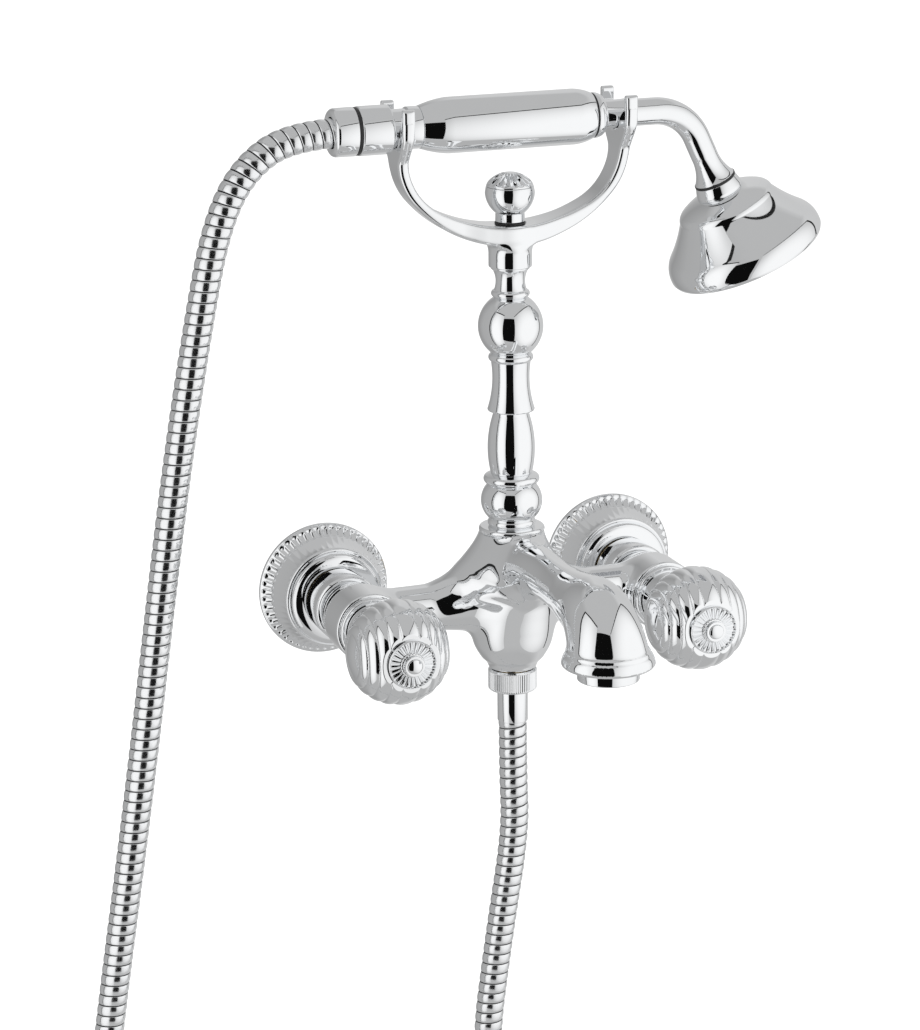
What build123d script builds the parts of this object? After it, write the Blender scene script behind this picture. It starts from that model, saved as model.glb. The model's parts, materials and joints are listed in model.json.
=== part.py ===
"""Wall bath mixer with a telephone hand shower.

The two inlets stand 150 mm apart. X runs along the wall, Y points into the
wall and Z is up. The origin lies in the face of the wall, midway between the
two inlets, so the whole mixer stands in front of it at negative Y.
"""
from build123d import *
from math import atan2, cos, degrees, hypot, pi, radians, sin, sqrt, tan
import os

os.makedirs("parts", exist_ok=True)

# Where things stand
inlet_centres = 150.0      # between the two water inlets
arm_reach = 58.0           # wall to the middle of the two arms
arm_height = 2.0           # arms above the inlets
column_reach = 65.0        # wall to the column and the hose outlet
spout_reach = 190.0        # wall to the middle of the mouth

# Clearances
run_gap = 0.05             # radial play of a turning or sliding fit
seat_gap = 0.3             # under a piece that rests in a cradle

# Water inlets
wall_thread_radius = 10.48     # G1/2
wall_thread_length = 16.0
union_thread_radius = 13.2     # G3/4
union_shoulder = 18.0          # wall to the thread of the union nut
union_length = 33.5            # wall to the sealing face
inlet_bore = 8.0
washer_thickness = 2.0
nut_radius = 16.5
nut_rear = 26.0
nut_front = 42.0
tail_collar_radius = 12.6
tail_collar = 2.6
tail_radius = 11.0

# Wall flanges
flange_radius = 32.7
flange_rim = 1.8
flange_edge = 0.8
flange_flute_radius = 28.6     # inner edge of the short flutes
flange_flute_depth = 6.2       # how far that edge stands off the wall
flange_bead_radius = 24.0
flange_bead_at = 18.6
flange_bead = 1.4
flange_face = 25.2
flange_face_radius = 17.4
flange_shell = 1.6

# Body
arm_radius = 11.2
boss_radius = 17.2
boss_start = 43.0
boss_swell = 57.0
boss_front = 76.0
valve_bore = 11.0
valve_seat = 52.0
duct = 5.5
hub_top = 38.0
hub_top_radius = 15.2
hub_bottom = -30.0
hub_bottom_radius = 11.6
bulb_radius = 20.4
bulb_middle = 29.0             # underside of the hub to the widest part of the bulb
bulb_height = 38.0
shoulder_half = 42.0           # middle of the hub to where the arms begin to swell
chamber_radius = 9.0
chamber_floor = -6.0
chamber_top = 8.0
upper_port = 6.0
upper_floor = 13.0
lower_port = 5.5

# Spout
spout_height = 28.0            # middle of the level stretch
spout_root_radius = 12.0
spout_root_reach = 87.0
spout_waist_radius = 10.6
spout_waist_reach = 124.0
spout_bend_radius = 13.7
spout_bend_reach = 157.0       # where the bend begins
spout_turn = 22.0              # radius of the bend
spout_turn_radius = 17.2       # the spout's own radius half way round it
mouth_radius = 19.2
lip_radius = 21.2
lip_bottom = 4.2
lip_top = 10.6

# Aerator
aerator_radius = 13.4
aerator_bottom = 0.8
aerator_thread = 12.0
aerator_thread_top = 14.0
aerator_wall = 1.6
aerator_seal = 1.5

# Taps
barrel_radius = 10.9
bonnet_flange_radius = 15.8
bonnet_flange = 3.0
hood_radius = 13.9
hood_front = 90.2
spindle_radius = 3.6
spindle_front = 124.0
disc_radius = 9.2
disc_thickness = 2.6
disc_port = 2.4
valve_seal = 1.6
barrel_floor = 66.0            # where the barrel closes round the spindle
knob_centre = 114.0
knob_ball = 23.85
knob_rib = 0.9                 # how far the ribs stand above the grooves
knob_rib_angles = (10.3, 24.0, 38.0, 52.0, 65.0)
knob_dish_radius = 15.0
knob_back = 91.4
medal_radius = 12.9
medal_rim = 4.3
medal_dip = 1.2
medal_flutes = 24
medal_flute_cut = 1.35         # radius of the cutter near the rim
medal_edge = 0.9
collar_height = 7.0
button_collar = 4.9
button_radius = 3.4
button_height = 8.2
button_dome = 0.8

# Column, each rise above the middle of the form below it
base_flange_radius = 15.8
base_flange = 3.0
base_bead_radius = 11.5
base_bead = 3.6
lower_ball_radius = 14.7
lower_ball_rise = 8.6
ring_radius = 13.4
ring_rise = 11.4
ring_cap = 2.4
barrel_end_radius = 9.9
barrel_belly = 11.3
barrel_belly_rise = 13.3
barrel_waist = 8.6
barrel_length = 30.6
lip_ring_radius = 11.5
lip_ring = 3.6
column_waist = 8.5
column_waist_rise = 14.4
bead_radius = 10.7
bead_rise = 11.7
ball_radius = 15.5
ball_rise = 15.1
top_bead_radius = 9.2
top_bead_rise = 15.8
neck_waist = 7.0
neck_waist_rise = 5.9
column_top_rise = 6.5
column_top_radius = 9.2
column_bore = 4.2
spigot_depth = 16.0

# Cradle
cradle_collar_radius = 10.3
cradle_collar = 8.0
yoke_depth = 16.0
yoke_half = 57.6
yoke_thickness = 5.4
yoke_rise = 11.0               # top of the column to the underside of the yoke
yoke_lap = 6.0                 # how far the yoke runs up into the forks
yoke_middle = 9.4              # thickness of the yoke over the column
yoke_corner = 32.6
yoke_corner_angle = 46.4
yoke_inner_corner = 29.0
yoke_inner_angle = 63.8
fork_middle = 55.3
fork_width = 6.6
fork_gap = 13.2
fork_wall = 4.6
handset_rise = 48.6            # top of the yoke to the middle of the resting handle
fork_rise = 11.0               # that middle to the tips of the prongs
fork_drop = 20.0               # that middle to the foot of the fork
fork_curl = 6.4                # foot to where they are widest at the yoke
fork_swell = 12.0              # foot to where the prongs have spread
fork_spread = 17.0             # foot to where they stand upright

# Diverter
pull_travel = 10.0
rod_radius = 2.5
valve_radius = 8.6
valve_height = 3.4
gland_radius = 5.2
gland_depth = 3.4
gland_flange_radius = 7.3
gland_flange = 1.1
pull_neck_radius = 7.0
pull_neck = 4.6
pull_radius = 11.9
pull_widest_rise = 14.4
pull_cap_rise = 2.2
pull_dome = 6.6
pull_rim = 0.8
pull_cap_edge = 0.5
pull_flutes = 20
pull_flute_cut = 1.2           # radius of the cutter near the rim

# Handset, lengths along X from the column, left is negative
hose_nut_left = -92.0
hose_nut_right = -79.2
hose_nut_floor = 1.4
hose_nut_radius = 11.4
hose_nut_mouth = 8.4
tail_left = -78.0
tail_right = -59.4
tail_piece_radius = 11.5
left_neck_radius = 9.1
left_ring_left = -51.5
left_ring_right = -45.0
left_ring_radius = 9.9
grip_radius = 13.1
grip_full_left = -31.0
grip_full_right = 31.5
grip_right = 40.4
grip_end_radius = 10.9
right_ring = 1.0
grip_end_right = 46.6
spool_radius = 7.1
spool_right = 60.0
tube_left = -70.0
tube_radius = 5.2
tube_bore = 4.0
neck_radius = 6.45
neck_straight = 72.7
neck_turn = 65.2
neck_bend = 24.0
neck_tail = 22.5
neck_foot_radius = 9.8
neck_foot = 6.0

# Head, heights along its own axis above the spray face
head_radius = 38.6
head_shoulder_radius = 23.9
head_shoulder = 26.6
head_top_radius = 11.0
head_top = 34.4
head_collar_radius = 11.4
head_collar = 6.0
head_gasket = 1.2
spray_radius = 33.5
spray_recess = 1.4
spray_thickness = 3.2

# Hose
hose_radius = 7.0
hose_root = 6.1
hose_bore = 4.0
hose_ribs = 84
hose_end = 3.0                 # plain stretch at each end
rib_gap = 1.4
rib_slope = 0.6
ferrule_radius = 7.45
ferrule_neck_radius = 6.05
ferrule_bottom = -57.0
nipple_radius = 8.4
nipple_bottom = -34.5
nut_low_radius = 11.8
nut_low_top = -30.4
nut_low_bottom = -41.2
nut_low_floor = 2.4
nut_chamfer = 0.8
nut_knurls = 36
nut_knurl_cut = 0.5

inlet_x = inlet_centres / 2

# Heights up the column, each from the one below it
base_top = hub_top + base_flange
lower_ball_height = base_top + base_bead + lower_ball_rise
ring_height = lower_ball_height + ring_rise
barrel_bottom = ring_height + ring_cap
barrel_belly_height = barrel_bottom + barrel_belly_rise
barrel_top = barrel_bottom + barrel_length
column_waist_height = barrel_top + column_waist_rise
bead_height = column_waist_height + bead_rise
ball_height = bead_height + ball_rise
top_bead_height = ball_height + top_bead_rise
neck_waist_height = top_bead_height + neck_waist_rise
column_top = neck_waist_height + column_top_rise
yoke_bottom = column_top + yoke_rise
yoke_top = yoke_bottom + yoke_middle
handset_height = yoke_top + handset_rise
fork_top = handset_height + fork_rise
fork_foot = handset_height - fork_drop
pull_foot = yoke_top + gland_flange + seat_gap
pull_widest = pull_foot + pull_widest_rise
pull_cap_foot = pull_widest + pull_cap_rise
pull_dome_top = pull_cap_foot + pull_dome


def wall_plane(x):
    """Profile plane for a piece turned about the inlet axis: local X is the radius, local Y the distance from the wall."""
    return Plane(origin=(x, 0, 0), x_dir=(1, 0, 0), z_dir=(0, 0, -1))


def column_plane():
    """Profile plane for a piece turned about the column: local X is the radius, local Y the height."""
    return Plane(origin=(0, -column_reach, 0), x_dir=(1, 0, 0), z_dir=(0, -1, 0))


def handle_plane():
    """Profile plane for a piece turned about the handle: local X runs along the handle, local Y is the radius."""
    return Plane(origin=(0, -column_reach, handset_height), x_dir=(1, 0, 0), z_dir=(0, -1, 0))


# The head hangs on the end of the bent neck and follows it.
neck_down = (cos(radians(neck_turn)), 0, -sin(radians(neck_turn)))
bend_end = (
    neck_straight + neck_bend * sin(radians(neck_turn)),
    -column_reach,
    handset_height - neck_bend * (1 - cos(radians(neck_turn))),
)
head_drop = neck_tail + head_gasket + head_collar + head_top
head_centre = tuple(e + head_drop * d for e, d in zip(bend_end, neck_down))


def head_plane():
    """Profile plane for the head: local X is the radius, local Y the height above the spray face."""
    side = (-neck_down[2], 0, neck_down[0])
    up = (-neck_down[0], 0, -neck_down[2])
    return Plane(origin=head_centre, x_dir=side, z_dir=Vector(*side).cross(Vector(*up)))


def outline(start, *steps):
    """Closed profile. A point is a straight edge, a pair of points is an arc through the first to the second."""
    here = start
    for step in steps:
        if isinstance(step[0], tuple):
            ThreePointArc(here, step[0], step[1])
            here = step[1]
        else:
            Line(here, step)
            here = step
    if here != start:
        Line(here, start)


def turned(where, about, start, *steps, mode=Mode.ADD):
    """Turn a closed profile about an axis and add it to the part, or take it away."""
    with BuildSketch(where) as profile:
        with BuildLine():
            outline(start, *steps)
        make_face()
    revolve(profile.sketch, axis=about, mode=mode)


def tube(inner, outer, low, high):
    """Profile of a plain tube, or of a rod when the inner radius is nothing."""
    return (inner, low), (outer, low), (outer, high), (inner, high)


def dome(radius, foot, top):
    """End of a profile that closes over the axis as part of a ball."""
    ball = (radius ** 2 + (top - foot) ** 2) / (2 * (top - foot))
    return (radius / 2, top - ball + sqrt(ball ** 2 - radius ** 2 / 4)), (0, top)


def inlet_axis(x):
    return Axis((x, 0, 0), (0, -1, 0))


def hollows(about, count, near, far, near_radius, far_radius):
    """Cuts a ring of flutes: a cone laid from one point (radius, height) to another, repeated about an axis."""
    run = far[0] - near[0]
    rise = far[1] - near[1]
    lathe = Plane(origin=about.position, z_dir=about.direction)
    with Locations(lathe.offset((near[1] + far[1]) / 2)):
        with PolarLocations((near[0] + far[0]) / 2, count):
            Cone(near_radius, far_radius, hypot(run, rise), rotation=(0, degrees(atan2(run, rise)), 0), mode=Mode.SUBTRACT)


column_axis = Axis((0, -column_reach, 0), (0, 0, 1))
handle_axis = Axis((0, -column_reach, handset_height), (1, 0, 0))
head_axis = Axis(head_centre, (-neck_down[0], 0, -neck_down[2]))
mouth_axis = Axis((0, -spout_reach, 0), (0, 0, 1))
mouth_plane = Plane(origin=(0, -spout_reach, 0), x_dir=(1, 0, 0), z_dir=(0, -1, 0))

# Where one piece ends and the next begins, along an inlet
tail_start = union_length + washer_thickness
tail_back = tail_start + tail_collar
disc_seat = valve_seat + valve_seal
disc_front = disc_seat + disc_thickness
knob_dish = knob_centre + sqrt(knob_ball ** 2 - knob_dish_radius ** 2)

# Both inlets are alike, so each piece is made once per side.
for side, x in (("left", -inlet_x), ("right", inlet_x)):
    where = wall_plane(x)
    about = inlet_axis(x)

    # Threaded union that screws into the pipe in the wall
    with BuildPart() as inlet_union:
        turned(
            where, about,
            (inlet_bore, -wall_thread_length),
            (wall_thread_radius, -wall_thread_length),
            (wall_thread_radius, 0),
            (union_thread_radius - 0.9, 0),
            (union_thread_radius - 0.9, union_shoulder),
            (union_thread_radius, union_shoulder),
            (union_thread_radius, union_length),
            (inlet_bore, union_length),
        )
    inlet_union.part.label = f"inlet_union_{side}"
    export_step(inlet_union.part, f"parts/inlet_union_{side}.step")

    # Cup that covers the hole in the tiles
    with BuildPart() as wall_flange:
        turned(
            where, about,
            (flange_radius - flange_shell, 0),
            (flange_radius, 0),
            (flange_radius, flange_rim),
            (flange_radius - flange_edge, flange_rim + flange_edge),
            (flange_flute_radius, flange_flute_depth),
            ((flange_bead_radius + 2.1, flange_bead_at - 7.4), (flange_bead_radius + 0.4, flange_bead_at - flange_bead)),
            ((flange_bead_radius + 0.9, flange_bead_at), (flange_bead_radius - 0.4, flange_bead_at + flange_bead)),
            (flange_bead_radius - 1.4, flange_bead_at + 0.8),
            ((flange_bead_radius - 2.8, flange_face - 1.7), (flange_face_radius, flange_face)),
            (union_thread_radius + seat_gap, flange_face),
            (union_thread_radius + seat_gap, flange_face - flange_shell),
            (flange_face_radius - 0.4, flange_face - flange_shell),
            ((flange_bead_radius - 4.6, flange_face - 3.1), (flange_bead_radius - 3.1, flange_bead_at)),
            (flange_bead_radius - 1.3, flange_bead_at - 2.6),
            (flange_flute_radius - 1.9, flange_flute_depth - 0.6),
            (flange_radius - flange_shell, flange_rim - 0.2),
        )
    wall_flange.part.label = f"wall_flange_{side}"
    export_step(wall_flange.part, f"parts/wall_flange_{side}.step")

    with BuildPart() as union_washer:
        turned(where, about, *tube(inlet_bore + 0.3, tail_collar_radius - 0.3, union_length, tail_start))
    union_washer.part.label = f"union_washer_{side}"
    export_step(union_washer.part, f"parts/union_washer_{side}.step")

    # Smooth nut that pulls the body's tailpiece onto the union
    with BuildPart() as union_nut:
        turned(
            where, about,
            (union_thread_radius + run_gap, nut_rear),
            (nut_radius - 0.6, nut_rear),
            (nut_radius, nut_rear + 0.6),
            (nut_radius, nut_front - 1.0),
            (nut_radius - 1.0, nut_front),
            (tail_radius + seat_gap, nut_front),
            (tail_radius + seat_gap, tail_back + run_gap),
            (union_thread_radius + run_gap, tail_back + run_gap),
        )
    union_nut.part.label = f"union_nut_{side}"
    export_step(union_nut.part, f"parts/union_nut_{side}.step")

    # Quarter-turn headwork: a rubber seat, a fixed disc and a disc on the spindle inside the barrel
    with BuildPart() as seat_ring:
        turned(where, about, *tube(inlet_bore, disc_radius, valve_seat, disc_seat))
    seat_ring.part.label = f"valve_seal_{side}"
    export_step(seat_ring.part, f"parts/valve_seal_{side}.step")

    with BuildPart() as fixed_disc:
        with BuildSketch(Plane(origin=(x, -disc_seat, 0), x_dir=(1, 0, 0), z_dir=(0, -1, 0))):
            Circle(disc_radius)
            with PolarLocations(disc_radius / 2, 2):
                Circle(disc_port, mode=Mode.SUBTRACT)
        extrude(amount=disc_thickness)
    fixed_disc.part.label = f"valve_disc_{side}"
    export_step(fixed_disc.part, f"parts/valve_disc_{side}.step")

    with BuildPart() as spindle:
        with BuildSketch(Plane(origin=(x, -disc_front - run_gap, 0), x_dir=(1, 0, 0), z_dir=(0, -1, 0))):
            Circle(disc_radius)
            with PolarLocations(disc_radius / 2, 2, start_angle=90):
                Circle(disc_port, mode=Mode.SUBTRACT)
        extrude(amount=disc_thickness)
        turned(where, about, *tube(0, spindle_radius, disc_front + disc_thickness / 2, spindle_front))
    spindle.part.label = f"spindle_{side}"
    export_step(spindle.part, f"parts/spindle_{side}.step")

    with BuildPart() as bonnet:
        turned(
            where, about,
            (disc_radius + run_gap, disc_seat),
            (barrel_radius, disc_seat),
            (barrel_radius, boss_front),
            (bonnet_flange_radius, boss_front),
            (bonnet_flange_radius, boss_front + bonnet_flange - 0.6),
            (bonnet_flange_radius - 0.6, boss_front + bonnet_flange),
            (hood_radius, boss_front + bonnet_flange),
            ((hood_radius, (boss_front + hood_front) / 2), (hood_radius - 0.7, hood_front - 0.9)),
            (hood_radius - 1.6, hood_front),
            (spindle_radius + run_gap, hood_front),
            (spindle_radius + run_gap, barrel_floor),
            (disc_radius + run_gap, barrel_floor),
        )
        with BuildSketch(Plane(origin=(x - barrel_radius, 0, 0), x_dir=(0, -1, 0), z_dir=(1, 0, 0))):
            with Locations(((disc_front + disc_thickness + barrel_floor) / 2, 0)):
                Rectangle(barrel_floor - disc_front - disc_thickness - 1.0, duct)
        extrude(amount=2 * barrel_radius, mode=Mode.SUBTRACT)
        turned(where, about, *tube(0, spindle_radius + run_gap, barrel_floor - 1.0, hood_front), mode=Mode.SUBTRACT)
    bonnet.part.label = f"bonnet_{side}"
    export_step(bonnet.part, f"parts/bonnet_{side}.step")

    # Ball knob with upright ribs. The ball is turned about an axis along the wall, across its spindle.
    rib_angles = [-a for a in reversed(knob_rib_angles)] + list(knob_rib_angles)

    def on_ball(angle, height):
        return (knob_ball + height) * sin(radians(angle)), (knob_ball + height) * cos(radians(angle))

    with BuildPart() as knob:
        with BuildSketch(Plane(origin=(x, -knob_centre, 0), x_dir=(1, 0, 0), z_dir=(0, -1, 0))):
            with BuildLine():
                ThreePointArc((-knob_ball, 0), on_ball((rib_angles[0] - 90) / 2, 0), on_ball(rib_angles[0], 0))
                for a, b in zip(rib_angles, rib_angles[1:]):
                    ThreePointArc(on_ball(a, 0), on_ball((a + b) / 2, knob_rib), on_ball(b, 0))
                ThreePointArc(on_ball(rib_angles[-1], 0), on_ball((rib_angles[-1] + 90) / 2, 0), (knob_ball, 0))
                Line((knob_ball, 0), (-knob_ball, 0))
            make_face()
        revolve(axis=Axis((x, -knob_centre, 0), (1, 0, 0)))
        turned(where, about, *tube(0, 2 * knob_ball, knob_dish, knob_dish + knob_ball), mode=Mode.SUBTRACT)
        turned(where, about, *tube(0, 2 * knob_ball, knob_back - knob_ball, knob_back), mode=Mode.SUBTRACT)
        turned(where, about, *tube(0, spindle_radius + run_gap, knob_back, spindle_front), mode=Mode.SUBTRACT)
        turned(where, about, *tube(0, button_radius + run_gap, spindle_front, knob_dish), mode=Mode.SUBTRACT)
    knob.part.label = f"knob_{side}"
    export_step(knob.part, f"parts/knob_{side}.step")

    with BuildPart() as medallion:
        turned(
            where, about,
            (button_radius + run_gap, knob_dish),
            (medal_radius, knob_dish),
            (medal_radius, knob_dish + medal_rim),
            (medal_radius - medal_edge, knob_dish + medal_rim),
            ((medal_radius - 4.0, knob_dish + medal_rim - medal_dip / 2), (button_collar, knob_dish + medal_rim - medal_dip)),
            (button_collar, knob_dish + collar_height),
            (button_radius + run_gap, knob_dish + collar_height),
        )
        hollows(
            about, medal_flutes,
            (button_collar + medal_edge, knob_dish + medal_rim - medal_dip),
            (medal_radius - medal_edge / 2, knob_dish + medal_rim),
            medal_flute_cut / 2, medal_flute_cut,
        )
    medallion.part.label = f"knob_medallion_{side}"
    export_step(medallion.part, f"parts/knob_medallion_{side}.step")

    with BuildPart() as button:
        turned(
            where, about,
            (0, spindle_front),
            (button_radius, spindle_front),
            (button_radius, knob_dish + button_height - button_dome),
            dome(button_radius, knob_dish + button_height - button_dome, knob_dish + button_height),
        )
    button.part.label = f"knob_screw_{side}"
    export_step(button.part, f"parts/knob_screw_{side}.step")


# Body casting: two bosses, the arms, the hub and the spout in one piece
with BuildPart() as mixer_body:
    for x in (-inlet_x, inlet_x):
        turned(
            wall_plane(x), inlet_axis(x),
            (0, tail_start),
            (tail_collar_radius, tail_start),
            (tail_collar_radius, tail_back),
            (tail_radius, tail_back),
            (tail_radius, boss_start),
            (boss_radius - 3.0, boss_start),
            ((boss_radius - 1.1, boss_swell - 6.0), (boss_radius, boss_swell)),
            (boss_radius, boss_front - 1.2),
            (boss_radius - 1.2, boss_front),
            (0, boss_front),
        )
    arm_plane = Plane(origin=(-inlet_x, -arm_reach, arm_height), x_dir=(0, -1, 0), z_dir=(1, 0, 0))
    with BuildSketch(arm_plane):
        Circle(arm_radius)
    extrude(amount=inlet_centres)

    # The arms swell into the shoulders of the hub: distance from the middle, top, bottom, half the depth
    shoulders = (
        (shoulder_half, arm_height + arm_radius - 0.7, arm_height - arm_radius + 0.7, arm_radius - 0.8),
        (34.0, 16.6, -9.4, 12.0),
        (28.5, 20.4, -10.2, 13.2),
        (23.5, 26.6, -11.4, 15.2),
        (16.5, 33.0, -13.6, 17.6),
        (7.0, 36.4, -16.0, 19.4),
    )
    swell = (column_reach - arm_reach) / 6
    for sign in (-1, 1):
        for at, top, bottom, half_depth in reversed(shoulders) if sign == 1 else shoulders:
            reach = arm_reach + swell * (half_depth - arm_radius) / 2
            with BuildSketch(Plane(origin=(sign * at, -reach, (top + bottom) / 2), x_dir=(0, 0, 1), z_dir=(1, 0, 0))):
                Ellipse((top - bottom) / 2, half_depth)
    loft()

    # Bulb over the hose outlet and neck under the column
    turned(
        column_plane(), column_axis,
        (0, hub_bottom),
        (hub_bottom_radius, hub_bottom),
        (hub_bottom_radius + 0.5, hub_bottom + 2.4),
        ((bulb_radius - 3.5, hub_bottom + 7.6), (bulb_radius, hub_bottom + 20.0)),
        ((bulb_radius + 0.4, hub_bottom + bulb_middle), (bulb_radius - 1.2, hub_bottom + bulb_height)),
        (0, hub_bottom + bulb_height),
    )
    turned(
        column_plane(), column_axis,
        (0, hub_top - 18.0),
        (hub_top_radius + 4.8, hub_top - 18.0),
        ((hub_top_radius + 1.4, hub_top - 8.0), (hub_top_radius, hub_top)),
        (0, hub_top),
    )

    # Spout: level and waisted, then a bend that opens into a round mouth
    spout_axis = Axis((0, 0, spout_height), (0, -1, 0))
    spout_plane = Plane(origin=(0, 0, spout_height), x_dir=(1, 0, 0), z_dir=(0, 0, -1))
    turned(
        spout_plane, spout_axis,
        (0, column_reach),
        (hub_top - spout_height, column_reach),
        (hub_top - spout_height, column_reach + base_flange_radius + seat_gap),
        (spout_root_radius, spout_root_reach),
        ((spout_waist_radius + 0.3, (spout_root_reach + spout_waist_reach) / 2), (spout_waist_radius, spout_waist_reach)),
        ((spout_waist_radius + 0.9, (spout_waist_reach + spout_bend_reach) / 2), (spout_bend_radius, spout_bend_reach)),
        (0, spout_bend_reach),
    )
    turn_from = spout_reach - spout_turn
    half_way = spout_turn * sin(radians(45)), spout_turn * (1 - cos(radians(45)))
    with BuildLine():
        Line((0, -spout_bend_reach, spout_height), (0, -turn_from, spout_height))
        ThreePointArc(
            (0, -turn_from, spout_height),
            (0, -turn_from - half_way[0], spout_height - half_way[1]),
            (0, -spout_reach, spout_height - spout_turn),
        )
    for reach, height, angle, radius in (
        (spout_bend_reach, spout_height, 0, spout_bend_radius),
        (turn_from + half_way[0], spout_height - half_way[1], 45, spout_turn_radius),
        (spout_reach, spout_height - spout_turn, 90, mouth_radius),
    ):
        ahead = (0, -cos(radians(angle)), -sin(radians(angle)))
        with BuildSketch(Plane(origin=(0, -reach, height), x_dir=(1, 0, 0), z_dir=ahead)):
            Circle(radius)
    sweep(multisection=True)
    turned(
        mouth_plane, mouth_axis,
        (0, lip_bottom),
        (mouth_radius - 0.4, lip_bottom),
        ((lip_radius - 0.3, lip_bottom + 1.2), (lip_radius, (lip_bottom + lip_top) / 2)),
        ((lip_radius - 0.9, lip_top - 0.4), (mouth_radius - 2.6, lip_top + 0.6)),
        (0, lip_top + 0.6),
    )

    # Waterways
    for x in (-inlet_x, inlet_x):
        turned(wall_plane(x), inlet_axis(x), *tube(0, inlet_bore, tail_start, valve_seat), mode=Mode.SUBTRACT)
        turned(wall_plane(x), inlet_axis(x), *tube(0, valve_bore, valve_seat, boss_front), mode=Mode.SUBTRACT)
    with BuildSketch(arm_plane):
        Circle(duct)
    extrude(amount=inlet_centres, mode=Mode.SUBTRACT)
    for radius, low, high in (
        (lower_port, hub_bottom, chamber_floor),
        (chamber_radius, chamber_floor, chamber_top),
        (upper_port, chamber_top, upper_floor),
        (chamber_radius, upper_floor, hub_top),
    ):
        turned(column_plane(), column_axis, *tube(0, radius, low, high), mode=Mode.SUBTRACT)
    with BuildSketch(Plane(origin=(0, -column_reach, spout_height), x_dir=(1, 0, 0), z_dir=(0, -1, 0))):
        Circle(duct)
    extrude(amount=spout_reach - column_reach - 2.0, mode=Mode.SUBTRACT)
    turned(
        mouth_plane, mouth_axis,
        (0, lip_bottom - 1.0),
        (aerator_thread + run_gap, lip_bottom - 1.0),
        (aerator_thread + run_gap, aerator_thread_top),
        (duct + 2.0, aerator_thread_top),
        (duct + 2.0, spout_height + 1.0),
        (0, spout_height + 1.0),
        mode=Mode.SUBTRACT,
    )
mixer_body.part.label = "mixer_body"
export_step(mixer_body.part, "parts/mixer_body.step")

with BuildPart() as aerator_washer:
    turned(mouth_plane, mouth_axis, *tube(duct + 2.4, aerator_thread - 0.2, aerator_thread_top - aerator_seal, aerator_thread_top))
aerator_washer.part.label = "aerator_washer"
export_step(aerator_washer.part, "parts/aerator_washer.step")

with BuildPart() as aerator_housing:
    housing_top = aerator_thread_top - aerator_seal
    turned(
        mouth_plane, mouth_axis,
        (aerator_thread - aerator_wall - 1.0, aerator_bottom + 0.4),
        (aerator_thread - aerator_wall - 0.6, aerator_bottom),
        (aerator_radius - 0.4, aerator_bottom),
        (aerator_radius, aerator_bottom + 0.4),
        (aerator_radius, lip_bottom),
        (aerator_thread, lip_bottom),
        (aerator_thread, housing_top),
        (aerator_thread - aerator_wall, housing_top),
        (aerator_thread - aerator_wall, aerator_bottom + 1.6),
        (aerator_thread - aerator_wall - 1.0, aerator_bottom + 1.6),
    )
aerator_housing.part.label = "aerator_housing"
export_step(aerator_housing.part, "parts/aerator_housing.step")

with BuildPart() as aerator_insert:
    insert_radius = aerator_thread - aerator_wall - run_gap
    turned(mouth_plane, mouth_axis, *tube(0, insert_radius, aerator_bottom + 1.6, housing_top - 0.4))
aerator_insert.part.label = "aerator_insert"
export_step(aerator_insert.part, "parts/aerator_insert.step")


# Hose outlet under the hub
with BuildPart() as outlet_nipple:
    turned(column_plane(), column_axis, *tube(hose_bore, lower_port - run_gap, hub_bottom - 1.0, chamber_floor - 6.0))
    turned(column_plane(), column_axis, *tube(hose_bore, nipple_radius, nipple_bottom, hub_bottom))
outlet_nipple.part.label = "outlet_nipple"
export_step(outlet_nipple.part, "parts/outlet_nipple.step")

ferrule_top = nipple_bottom - washer_thickness
with BuildPart() as hose_washer_lower:
    turned(column_plane(), column_axis, *tube(hose_bore + 0.4, nipple_radius - 0.4, ferrule_top, nipple_bottom))
hose_washer_lower.part.label = "hose_washer_lower"
export_step(hose_washer_lower.part, "parts/hose_washer_lower.step")

with BuildPart() as hose_nut_lower:
    turned(
        column_plane(), column_axis,
        (ferrule_neck_radius + seat_gap, nut_low_bottom),
        (nut_low_radius - nut_chamfer, nut_low_bottom),
        (nut_low_radius, nut_low_bottom + nut_chamfer),
        (nut_low_radius, nut_low_top - nut_chamfer),
        (nut_low_radius - nut_chamfer, nut_low_top),
        (nipple_radius + run_gap, nut_low_top),
        (nipple_radius + run_gap, nut_low_bottom + nut_low_floor),
        (ferrule_neck_radius + seat_gap, nut_low_bottom + nut_low_floor),
    )
    with Locations(Plane(origin=(0, -column_reach, (nut_low_bottom + nut_low_top) / 2))):
        with PolarLocations(nut_low_radius + nut_knurl_cut / 4, nut_knurls):
            Cylinder(nut_knurl_cut, nut_low_top - nut_low_bottom - 2 * nut_chamfer, mode=Mode.SUBTRACT)
hose_nut_lower.part.label = "hose_nut_lower"
export_step(hose_nut_lower.part, "parts/hose_nut_lower.step")

with BuildPart() as hose_ferrule_lower:
    turned(
        column_plane(), column_axis,
        (hose_bore, ferrule_bottom),
        (ferrule_radius, ferrule_bottom),
        (ferrule_radius, nut_low_bottom),
        (ferrule_neck_radius, nut_low_bottom),
        (ferrule_neck_radius, nut_low_bottom + nut_low_floor),
        (nipple_radius - 0.3, nut_low_bottom + nut_low_floor),
        (nipple_radius - 0.3, ferrule_top),
        (hose_bore, ferrule_top),
    )
hose_ferrule_lower.part.label = "hose_ferrule_lower"
export_step(hose_ferrule_lower.part, "parts/hose_ferrule_lower.step")


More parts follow.
